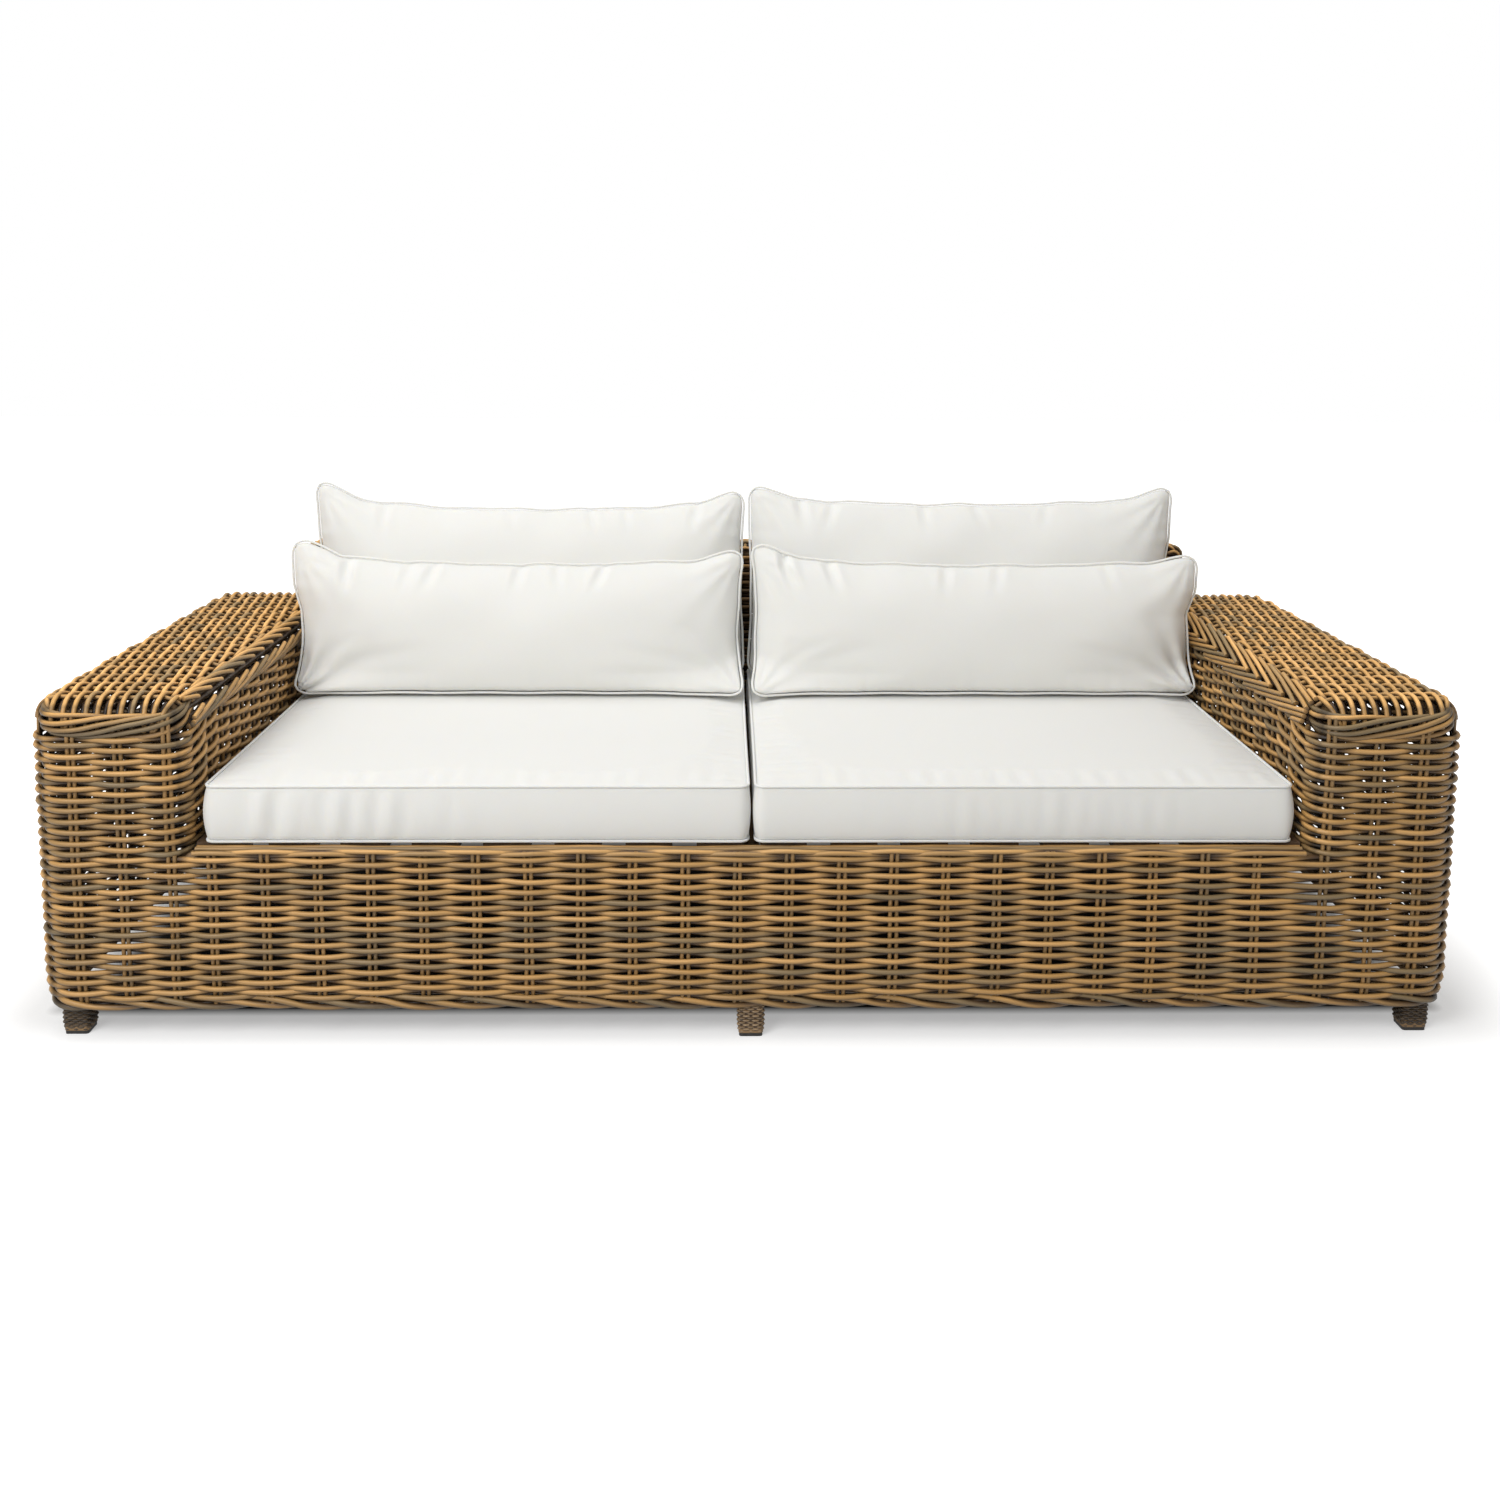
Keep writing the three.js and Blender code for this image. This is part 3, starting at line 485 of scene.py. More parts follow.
def rope_tree():
    """Bundles of rods laid round an oval middle, each turning once in the length of lay"""
    tree = Tree("Laid rope", (
        ("Bundles", "NodeSocketInt", 3),
        ("Rods in Bundle", "NodeSocketInt", 3),
        ("Rod Turn", "NodeSocketFloat", 0.5),
        ("Half Depth", "NodeSocketFloat", 0.008),
        ("Half Height", "NodeSocketFloat", 0.017),
        ("Lay", "NodeSocketFloat", 0.5),
        ("Start Turn", "NodeSocketFloat", 0.0),
        *ROD_INPUTS))
    given = tree.given
    curve = tree.node("GeometryNodeMeshToCurve", {"Mesh": given["Geometry"]}).outputs[0]
    copies = tree.node("GeometryNodeDuplicateElements",
                       {"Geometry": curve, "Amount": tree.times(given["Bundles"], given["Rods in Bundle"])},
                       domain="SPLINE")
    number = copies.outputs["Duplicate Index"]
    bundle = tree.math("FLOOR", tree.math("DIVIDE", number, given["Rods in Bundle"]))
    member = tree.math("SUBTRACT", number, tree.times(bundle, given["Rods in Bundle"]))
    travel = tree.node("GeometryNodeSplineParameter").outputs["Length"]
    turns = tree.plus(tree.math("DIVIDE", travel, given["Lay"]),
                      tree.math("DIVIDE", bundle, given["Bundles"]))
    angle = tree.plus(tree.times(turns, 2 * math.pi), tree.times(member, given["Rod Turn"]))
    angle = tree.plus(angle, given["Start Turn"])
    outward = tree.named("outward", "FLOAT_VECTOR")
    upward = tree.vector("CROSS_PRODUCT", outward, tree.node("GeometryNodeInputTangent").outputs[0])
    swing = tree.named("swing")
    cosine = tree.math("COSINE", angle)
    level = tree.times(tree.times(cosine, given["Half Depth"]), swing)
    upright = tree.times(tree.times(tree.math("SINE", angle), given["Half Height"]), swing)
    offset = tree.vector("ADD", tree.scaled(outward, level), tree.scaled(upward, upright))
    curve = tree.moved(tree.shaded(copies.outputs["Geometry"], cosine), offset)
    away = tree.vector("ADD", offset, tree.scaled(outward, 0.003))
    curve = tree.noted(curve, "outward", away, "FLOAT_VECTOR", domain="POINT")
    tone = tree.node("FunctionNodeRandomValue", {"ID": number, "Seed": SEED}, data_type="FLOAT").outputs[1]
    curve = tree.noted(curve, "tone", tone, domain="POINT")
    return tree.tubes(tree.wobbled(curve), given["Rod Diameter"])


def grown(guide, tree, **values):
    """Runs a node tree on a guide object and leaves the result as the object's plain mesh"""
    modifier = guide.modifiers.new("Rods", "NODES")
    modifier.node_group = tree
    labels = {key.replace("_", " ").lower(): value for key, value in values.items()}
    for item in tree.interface.items_tree:
        if item.in_out == "INPUT" and item.name.lower() in labels:
            modifier[item.identifier] = labels.pop(item.name.lower())
    if labels:
        raise RuntimeError(f"the tree {tree.name} has no input for {sorted(labels)}")
    depsgraph = bpy.context.evaluated_depsgraph_get()
    mesh = bpy.data.meshes.new_from_object(guide.evaluated_get(depsgraph))
    guide.modifiers.clear()
    old = guide.data
    guide.data = mesh
    bpy.data.meshes.remove(old)
    mesh.name = guide.name
    if not mesh.polygons:
        raise RuntimeError(f"{guide.name} came out empty")
    return guide


def settled(piece, body, slot, *nodes):
    """Sets a finished piece on the body it rides on and hides the frame's nodes that it stands for"""
    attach(piece, body)
    if nodes:
        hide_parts(*nodes)


class Shader(Nodes):
    """A material under construction"""

    def __init__(self, name):
        self.material = bpy.data.materials.new(name)
        self.material.use_nodes = True
        super().__init__(self.material.node_tree)
        self.surface = self.tree.nodes["Principled BSDF"]

    def finish(self, **inputs):
        for key, value in inputs.items():
            self.put(self.surface, key.replace("_", " "), value)
        return self.material

    def place(self):
        return self.node("ShaderNodeTexCoord").outputs["Object"]

    def attribute(self, name, output="Fac"):
        return self.node("ShaderNodeAttribute", attribute_name=name).outputs[output]

    def noise(self, vector, scale, detail=2.0):
        noise = self.node("ShaderNodeTexNoise", {"Vector": vector, "Scale": scale, "Detail": detail})
        return noise.outputs["Fac"]

    def ramp(self, value, *stops):
        """A colour from a row of colours, each at its place between 0 and 1"""
        node = self.node("ShaderNodeValToRGB", {"Fac": value})
        elements = node.color_ramp.elements
        while len(elements) < len(stops):
            elements.new(0.5)
        for element, (place, tint) in zip(elements, stops):
            element.position = place
            element.color = (*tint, 1.0)
        return node.outputs["Color"]

    def bump(self, height, distance, strength=1.0):
        return self.node("ShaderNodeBump", {"Height": height, "Distance": distance,
                                            "Strength": strength}).outputs["Normal"]


def dimmed(tint, factor):
    return tuple(part * factor for part in tint)


def painted_top_light_and_under_shade(shader):
    """Painted light and shade: rods are lighter where they face up and darker where they face down, as if lit
    from above
    """
    facing = shader.node("ShaderNodeNewGeometry").outputs["Normal"]
    return shader.mapped(shader.split(facing)["Z"], -1.0, 1.0, 0.18, 1.36)


def painted_hollow_shade_and_top_light(shader, parts):
    """Painted shade on the rods deep inside the arms, and painted light on the rods near the arms' tops"""
    across = shader.math("ABSOLUTE", parts["X"])
    depth = shader.math("SUBTRACT", across, ARM_INNER)
    for value, edge in ((across, HALF_WIDTH), (shader.math("ABSOLUTE", parts["Y"]), HALF_DEPTH),
                        (parts["Z"], ARM_TOP)):
        depth = shader.math("MINIMUM", shader.math("SUBTRACT", edge, value), depth)
    # Painted shade: darker the deeper a rod lies inside the arm
    dark = shader.mapped(depth, *HOLLOW_DEPTHS, 1.0, HOLLOW_PAINTED_SHADE)
    # Painted light: rods near the arm tops are made lighter
    painted_light_on_tops = shader.mapped(parts["Z"], ARM_TOP - 0.035, ARM_TOP - 0.012, 1.0, TOP_PAINTED_LIGHT)
    return shader.times(dark, painted_light_on_tops)


def painted_shade_behind_cushions(shader, parts):
    """Painted shade on the inner side of the back below its border, where the cushions lie in front of it"""
    low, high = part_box("back_weave_inner")
    within = 1.0
    for axis, a, b in (("X", low.x, high.x), ("Y", low.y, high.y + 0.006)):
        within = shader.times(shader.math("COMPARE", parts[axis], (a + b) / 2, (b - a) / 2), within)
    below = shader.mapped(parts["Z"], high.z - 0.06, high.z, 1.0, 0.0)
    return shader.span(shader.times(below, within), 1.0, BACK_PAINTED_SHADE)


def rod_material(name, warm, cool, painted_recess_shade):
    """Natural rods: each its own tone between warm and cool, with streaks along it, painted shade in the
    recesses, underneath, inside the arms and behind the cushions, and painted light on their upper sides
    """
    shader = Shader(name)
    tone = shader.attribute("tone")
    travel = shader.attribute("travel")
    cross = shader.split(shader.attribute("around", "Vector"))
    place = shader.place()
    parts = shader.split(place)
    grain = shader.joined(*(shader.times(cross[axis], 2.6) for axis in ("X", "Y")), shader.times(travel, 9.0))
    streaks = shader.noise(grain, 2.2, 4.0)
    drift = shader.noise(shader.joined(travel, tone), 4.0, 1.0)
    patches = shader.noise(place, 9.0, 2.0)
    shade = shader.plus(tone, shader.span(drift, -0.42, 0.42))
    middle = tuple(0.45 * a + 0.55 * b for a, b in zip(warm, cool))
    light = tuple(min(1.0, part * 1.28 + 0.02) for part in warm)
    base = shader.ramp(shade, (0.08, cool), (0.36, middle), (0.6, warm), (1.0, light))
    base = shader.mix(shader.span(streaks, 0.62, -0.30), base, dimmed(middle, 0.5))
    base = shader.mix(shader.span(patches, 0.30, -0.2), base, cool)
    # Painted shade: rods turn towards the recess colour where they lie back or face inward
    base = shader.mix(shader.times(shader.attribute("painted_recess_shade"), 0.96), base, painted_recess_shade)
    # Painted light and shade: lighter tops, darker undersides, darker arm hollows and a darker back behind
    # the cushions
    painted_light_and_shade = shader.times(painted_top_light_and_under_shade(shader), painted_hollow_shade_and_top_light(shader, parts))
    base = shader.scaled(base, shader.times(painted_light_and_shade, painted_shade_behind_cushions(shader, parts)))
    return shader.finish(Base_Color=base, Roughness=shader.span(streaks, 0.36, 0.60),
                         Normal=shader.bump(streaks, 0.0004, 0.6))


def wood_material(name, tint, across):
    """Wood or peeled pole with its grain along one axis"""
    shader = Shader(name)
    stretched = shader.node("ShaderNodeMapping", {"Vector": shader.place(), "Scale": across}).outputs[0]
    grain = shader.noise(stretched, 14.0, 4.0)
    base = shader.ramp(grain, (0.25, dimmed(tint, 0.5)), (0.75, tint))
    return shader.finish(Base_Color=base, Roughness=shader.span(grain, 0.7, 0.5),
                         Normal=shader.bump(grain, 0.0008, 0.5))


def glide_material(tint):
    """Dark moulded plastic with a fine scuffed face"""
    shader = Shader("glide_plastic")
    scuffs = shader.noise(shader.place(), 260.0, 3.0)
    base = shader.ramp(scuffs, (0.45, tint), (0.8, tuple(part * 2.5 + 0.01 for part in tint)))
    return shader.finish(Base_Color=base, Roughness=shader.span(scuffs, 0.4, 0.65),
                         Normal=shader.bump(scuffs, 0.0002, 0.5))


def cloth_material(tint):
    """Off-white woven cover: plain weave threads, slubs and faint soft shading between them"""
    shader = Shader("cover_cloth")
    flat = shader.attribute("cloth", "Vector")
    wave = {"Vector": flat, "Scale": 260.0, "Distortion": 0.6, "Detail": 1.0}
    warp, weft = (shader.node("ShaderNodeTexWave", wave, bands_direction=axis).outputs["Fac"]
                  for axis in ("X", "Y"))
    threads = shader.math("MAXIMUM", warp, weft)
    along = shader.node("ShaderNodeMapping", {"Vector": flat, "Scale": (1.0, 9.0, 1.0)}).outputs[0]
    slubs = shader.noise(along, 120.0)
    base = shader.mix(shader.span(threads, 0.16, 0.0), tint, dimmed(tint, 0.82))
    base = shader.mix(shader.span(slubs, 0.10, -0.04), base, (0.62, 0.58, 0.50))
    patches = shader.noise(shader.place(), 7.0)
    base = shader.mix(shader.span(patches, 0.12, -0.05), base, (0.70, 0.685, 0.65))
    return shader.finish(Base_Color=base, Roughness=shader.span(slubs, 0.85, 0.97),
                         Normal=shader.bump(threads, 0.00025, 0.35), Sheen_Weight=0.15, Sheen_Roughness=0.6,
                         Subsurface_Weight=0.45, Subsurface_Radius=(1.0, 0.85, 0.62), Subsurface_Scale=0.009,
                         Specular_IOR_Level=0.2)


MATERIALS = {}


def finish(name):
    """The material of that name, made when it is first asked for"""
    if not MATERIALS:
        colours = bpy.context.scene.sofa_colours
        painted_recess_shade = tuple(colours.painted_recess_shade)
        foot = tuple(colours.foot)
        MATERIALS["rods"] = rod_material("natural_rods", tuple(colours.tan), tuple(colours.grey), painted_recess_shade)
        MATERIALS["wrap"] = rod_material("foot_strips", foot, dimmed(foot, 0.5), painted_recess_shade)
        MATERIALS["pole"] = wood_material("peeled_pole", tuple(colours.pole), (1.0, 1.0, 1.0))
        MATERIALS["slat"] = wood_material("slat_wood", tuple(colours.wood), (9.0, 1.0, 9.0))
        MATERIALS["glide"] = glide_material(tuple(colours.glide))
        MATERIALS["cloth"] = cloth_material(tuple(colours.cloth))
    return MATERIALS[name]


TREES = {}


def tree(build):
    """A node tree, built when it is first asked for"""
    if build not in TREES:
        TREES[build] = build()
    return TREES[build]


def woven(rods, name, sides=8, diameter=None, depth=None, wobble=None, material="rods"):
    """A piece of woven rods from their centre lines"""
    weave = bpy.context.scene.sofa_weave
    return grown(rods.guide(name), tree(weaving_tree),
                 Rod_Diameter=weave.rod if diameter is None else diameter,
                 Weave_Depth=weave.depth if depth is None else depth,
                 Wobble=weave.wobble if wobble is None else wobble,
                 Sides=sides, Material=finish(material))


def laid(rods, name, slot, *nodes, **sizes):
    """Adds a finished piece of woven rods to the frame"""
    settled(woven(rods, name, **sizes), "frame", slot, *nodes)


def roped(rods, name, *nodes, **sizes):
    """Adds a finished roll of rods laid round a line to the frame"""
    piece = grown(rods.guide(name), tree(rope_tree), Sides=8, Material=finish("rods"), **sizes)
    settled(piece, "frame", "braid", *nodes)


def round_line(x, y, radius):
    """Line round a rectangle, from the middle of its rear and back to it"""
    return PlanLine([(0, y), (-x, y), (-x, -y), (x, -y), (x, y), (0, y)], [radius] * 4)


# Shares of an arm's width at which the stakes of its front stand, from its inner side
ARM_STAKE_SHARES = (0.122, 0.422, 0.7067)
# Pairs of stakes in the front between the arms, and how far right of the middle their middle lies
FRONT_STAKES = 21
FRONT_SHIFT = -0.024
# Points of a weaver from one stake to the next
POINTS_PER_GAP = 8


def base_line(inset):
    """Line round the whole sofa, from the middle of the rear and back to it"""
    weave = bpy.context.scene.sofa_weave
    return round_line(HALF_WIDTH - inset, HALF_DEPTH - inset, weave.corner - inset)


def upper_line(inset):
    """Line from the back along the right arm's inner side, round the sofa, to the left arm's inner side"""
    weave = bpy.context.scene.sofa_weave
    x = HALF_WIDTH - inset
    y = HALF_DEPTH - inset
    inner = ARM_INNER + inset
    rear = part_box("arm_weave_inner_right")[1].y
    corners = [(inner, rear), (inner, -y), (x, -y), (x, y), (-x, y), (-x, -y), (-inner, -y), (-inner, rear)]
    turn = weave.inner_corner - inset
    return PlanLine(corners, [turn, *[weave.corner - inset] * 4, turn])


def arm_stake_places():
    """Stakes in the front of the right arm"""
    return [ARM_INNER + share * ARM_WIDTH for share in ARM_STAKE_SHARES]


def front_stake_places():
    """Stakes in the front of the base, between the arms"""
    weave = bpy.context.scene.sofa_weave
    half = weave.pitch * (FRONT_STAKES - 1) / 2
    return [FRONT_SHIFT - half + weave.pitch * k for k in range(FRONT_STAKES)]


def outer_stakes(inset, front_middle):
    """Places of the pairs of stakes in the outer faces, with or without those between the arms"""
    weave = bpy.context.scene.sofa_weave
    y = HALF_DEPTH - inset
    x = HALF_WIDTH - inset
    arm = arm_stake_places()
    places = [(sx * along, -y) for along in arm for sx in (-1, 1)]
    if front_middle:
        places += [(along, -y) for along in front_stake_places()]
    rear_count = 2 * round(arm[-1] / weave.pitch) + 1
    places += [(arm[-1] * (1 - 2 * k / (rear_count - 1)), y) for k in range(rear_count)]
    side_reach = HALF_DEPTH - weave.corner + weave.inset
    side_count = round(2 * side_reach / weave.pitch) + 1
    side_ys = [side_reach * (2 * k / (side_count - 1) - 1) for k in range(side_count)]
    places += [(sx * x, side_y) for side_y in side_ys for sx in (-1, 1)]
    return places


def inner_side_ys():
    """Places along an arm's inner side of its single stakes"""
    weave = bpy.context.scene.sofa_weave
    first = weave.inner_corner - HALF_DEPTH + weave.cross_pitch * 0.65
    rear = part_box("arm_weave_inner_right")[1].y
    return np.arange(first, rear, weave.cross_pitch)


class WovenLine:
    """A line of rows with its stakes, and the count that keeps the rows alternating"""

    def __init__(self, line, stake_places, closed, shift=0):
        self.line = line
        self.closed = closed
        self.stakes = np.sort([line.find(x, y) for x, y in stake_places])
        count = len(self.stakes)
        self.own = np.arange(count) + shift
        if closed:
            laps = (-1, 0, 1, 2)
            self.places = np.concatenate([self.stakes + lap * line.length for lap in laps])
            self.numbers = np.concatenate([self.own + lap * count for lap in laps])
        else:
            gap = np.diff(self.stakes).mean()
            self.places = np.concatenate(([self.stakes[0] - gap], self.stakes, [self.stakes[-1] + gap]))
            self.numbers = np.arange(-1, count + 1) + shift
        self.knots = spread(self.places, POINTS_PER_GAP)

    def samples(self, start, stop):
        """Distances from start to stop, evenly spread between the stakes, and their count of stakes"""
        knots = self.knots[(self.knots > start + 1e-4) & (self.knots < stop - 1e-4)]
        along = np.concatenate(([start], knots, [stop]))
        return along, np.interp(along, self.places, self.numbers)

    def cuts(self, row, rng):
        """Where one weaver ends and the next begins, always behind a stake"""
        behind = self.stakes[(self.own + row) % 2 == 1]
        at = rng.randrange(4)
        chosen = []
        while at < len(behind):
            chosen.append(behind[at])
            at += rng.randint(3, 8)
        if self.closed:
            return chosen + [chosen[0] + self.line.length]
        return [0.0, *chosen, self.line.length]


def weave_rows(woven_line, heights, regions, pieces, rng, tuck, fan=None, first_row=0):
    """Lays every row along a line and shares it out among the pieces whose stretch of the line it crosses"""
    line = woven_line.line
    laps = (0, 1) if woven_line.closed else (0,)
    for number, z in enumerate(heights):
        row = number + first_row
        cuts = woven_line.cuts(row, rng)
        for start, stop in zip(cuts, cuts[1:]):
            tone = natural_tone(rng)
            height = z + rng.uniform(-ROW_SHAKE, ROW_SHAKE)
            for (name, low, high), lap in ((region, lap) for region in regions for lap in laps):
                a = max(start, low + lap * line.length)
                b = min(stop, high + lap * line.length)
                if b - a < SHORTEST or height > SHOULDER:
                    continue
                along, count = woven_line.samples(a, b)
                spots, facing = line.at(along % line.length if woven_line.closed else along)
                heights_here = height + (fan(along, height) if fan else np.zeros(len(along)))
                points = xyz(*(spots - facing * tuck(height, name)).T, heights_here)
                under_braid = fan is not None and name != "outer_back"
                kept = (heights_here < UNDER_BRAID) | (not under_braid)
                pieces[name].add(points[kept], xyz(*facing.T, 0.0)[kept], (count + row)[kept], 1.0, tone)


def stand_stakes(rods, places, facing, low, high, rng, paired=True, tuck=None, levels=6):
    """Upright stakes, single or in pairs"""
    weave = bpy.context.scene.sofa_weave
    shifts = (-weave.pair / 2, weave.pair / 2) if paired else (0.0,)
    heights = np.linspace(low, high, levels)
    for (x, y), (nx, ny) in zip(places, facing):
        for shift in shifts:
            drawn = np.array([tuck(z) if tuck else 0.0 for z in heights])
            points = np.column_stack((x - ny * shift - nx * drawn, y + nx * shift - ny * drawn, heights))
            rods.add(points, (nx, ny, 0.0), 1.0, STAKE_PAINTED_SHADE, rng.uniform(*STAKE_TONES))


def rim_tuck(z, name):
    """How far the rows of the arm fronts draw in behind the rims"""
    return RIM_TUCK if name.startswith("arm") and z > UNDER_RIM else 0.0


def hem_tuck(z, name=""):
    """How far the rows near the hem draw in"""
    weave = bpy.context.scene.sofa_weave
    return weave.tuck * min(1.0, max(0.0, 1 - (z - HEM_BOTTOM) / HEM_REACH)) ** 1.6


class SOFA_OT_outer_weave(bpy.types.Operator):
    """Weaves the base, the outer sides, the arm fronts, the arms' inner sides and the rear"""

    bl_idname = "sofa.outer_weave"
    bl_label = "Outer weave"

    def execute(self, context):
        weave = context.scene.sofa_weave
        rng = random.Random(SEED)
        inset = weave.inset
        faces = [f"{kind}_{side}" for kind in ("side", "arm", "inner") for side, _ in SIDES]
        names = ["front", "rear", *faces]
        pieces = {name: Rods() for name in [*names, "outer_back"]}
        stakes = {name: Rods() for name in names}

        low = HEM_BOTTOM + FIRST_ROW + weave.row / 2
        rows = int((SHOULDER - low) / weave.row) + 1
        base_rows = int((SKIRT_TOP - low) / weave.row) + 1
        heights = [low + weave.row * k for k in range(rows)]

        line = base_line(inset)
        straight = HALF_DEPTH - weave.corner
        x = HALF_WIDTH - inset
        bends = ((-x, straight), (-x, -straight), (x, -straight), (x, straight))
        bounds = [0.0, *(line.find(*bend) for bend in bends), line.length]
        base_stakes = outer_stakes(inset, True)
        base = WovenLine(line, base_stakes, True)
        regions = list(zip(("rear", "side_left", "front", "side_right", "rear"), bounds, bounds[1:]))
        weave_rows(base, heights[:base_rows], regions, pieces, rng, tuck=hem_tuck)

        upper = upper_line(inset)
        inner_x = ARM_INNER + inset
        inner_y = weave.inner_corner - HALF_DEPTH
        inner = [(sx * inner_x, y) for y in inner_side_ys() for sx in (-1, 1)]
        upper_stakes = outer_stakes(inset, False) + inner
        first_arm = (arm_stake_places()[0], -HALF_DEPTH + inset)
        trial = WovenLine(upper, upper_stakes, False)
        base_number = int(np.argmin(abs(base.stakes - line.find(*first_arm))))
        upper_number = int(np.argmin(abs(trial.stakes - upper.find(*first_arm))))
        above = WovenLine(upper, upper_stakes, False, shift=(base_number - upper_number) % 2)
        bends = ((inner_x, inner_y), (x, -straight), (x, straight),
                 (-x, straight), (-x, -straight), (-inner_x, inner_y))
        bounds = [0.0, *(upper.find(*bend) for bend in bends), upper.length]
        stretches = ("inner_right", "arm_right", "side_right", "outer_back", "side_left", "arm_left",
                     "inner_left")

        def fan(along, z):
            """Rows spread apart as they run back along an arm's inner side"""
            back = np.maximum(bounds[1] - along, along - bounds[-2])
            return np.clip(back / FAN_REACH, 0.0, 1.0) * FAN_SHARE * (z - SKIRT_TOP)

        weave_rows(above, heights[base_rows:], list(zip(stretches, bounds, bounds[1:])), pieces, rng,
                   tuck=rim_tuck, fan=fan, first_row=base_rows)
        self.outer_back(context, pieces["outer_back"], base, low + weave.row * rows, rows, rng)
        self.stand(context, stakes, line, upper, base_stakes, inner, rng)

        nodes = {"front": "skirt_weave_front", "rear": "skirt_weave_rear", "outer_back": "back_weave_outer"}
        for side, _ in SIDES:
            nodes[f"side_{side}"] = f"side_weave_{side}"
            nodes[f"arm_{side}"] = f"arm_weave_front_{side}"
            nodes[f"inner_{side}"] = f"arm_weave_inner_{side}"
        for name, rods in pieces.items():
            laid(rods, f"{name}_weavers", "weave", nodes[name])
        for name, rods in stakes.items():
            laid(rods, f"{name}_stakes", "weave", diameter=weave.stake, depth=0.0)
        return {"FINISHED"}

    def outer_back(self, context, rods, base, low, first_row, rng):
        """Rows of the rear face above the arms' shoulders"""
        weave = context.scene.sofa_weave
        reach = BACK_HALF_WIDTH - weave.rod
        y = HALF_DEPTH - weave.inset
        rows = int((BACK_TOP - 2 * weave.inset - low) / weave.row) + 1
        for number in range(rows):
            z = low + weave.row * number
            row = first_row + number
            width = reach if z > BACK_FOOT else BRAID_OUTER
            left = base.line.find(-width, y)
            right = base.line.find(width, y)
            for a, b in ((0.0, left), (right, base.line.length)):
                along, count = base.samples(a, b)
                spots, facing = base.line.at(along)
                rods.add(xyz(*spots.T, z), xyz(*facing.T, 0.0), count + row, 1.0, natural_tone(rng))

    def stand(self, context, stakes, line, upper, base_stakes, inner, rng):
        """Stakes of every face, each as high as its face"""
        weave = context.scene.sofa_weave
        hem = HEM_BOTTOM + STAKE_ENDS
        shoulder = SHOULDER + STAKE_ENDS
        straight = HALF_DEPTH - weave.corner
        for x, y in base_stakes:
            spot, facing = line.at(np.array([line.find(x, y)]))
            side = "right" if x > 0 else "left"
            if y < -straight:
                top = SKIRT_TOP + (0.006 if abs(x) < ARM_INNER else 0.0)
                stand_stakes(stakes["front"], spot, facing, hem, top, rng, tuck=hem_tuck, levels=8)
                if abs(x) > ARM_INNER:
                    spot, facing = upper.at(np.array([upper.find(x, y)]))
                    stand_stakes(stakes[f"arm_{side}"], spot, facing, SKIRT_TOP, shoulder, rng)
                continue
            name, top = f"side_{side}", SHOULDER
            if y > straight:
                name = "rear"
                top = BACK_TOP - weave.inset if abs(x) < BACK_HALF_WIDTH - weave.inset else shoulder
            stand_stakes(stakes[name], spot, facing, hem, top, rng, tuck=hem_tuck, levels=10)
        for x, y in inner:
            side = "right" if x > 0 else "left"
            facing = [(-math.copysign(1, x), 0.0)]
            stand_stakes(stakes[f"inner_{side}"], [(x, y)], facing, SKIRT_TOP, SHOULDER, rng, paired=False)


def arm_surface(x):
    """Height of an arm's top, which rolls down towards its inner edge"""
    roll = bpy.context.scene.sofa_borders.braid_roll
    share = np.clip((ROLL_START - np.asarray(x, float)) / (ROLL_START - ARM_INNER), 0.0, 1.0)
    return ARM_TOP - roll * share ** 2


# Where the two parts of a strand on the arm top may meet
STRAND_CUTS = (-0.20, 0.25)
# Rows that close an arm behind its rim: how far in from its side and its front they run, how much tighter
# they turn than the arm's corner, between which heights they lie, and where they end on the outer side
CLOSING_INSETS = (0.035, 0.043)
CLOSING_TURN = 0.040
CLOSING_HEIGHTS = (SHOULDER - 0.034, ARM_TOP - 0.030)
CLOSING_STOP = -0.380
# How far the strands fall at the ends of the arm, and how far behind its rims they do
STRAND_FALL = 0.030
STRAND_INSET = 0.021


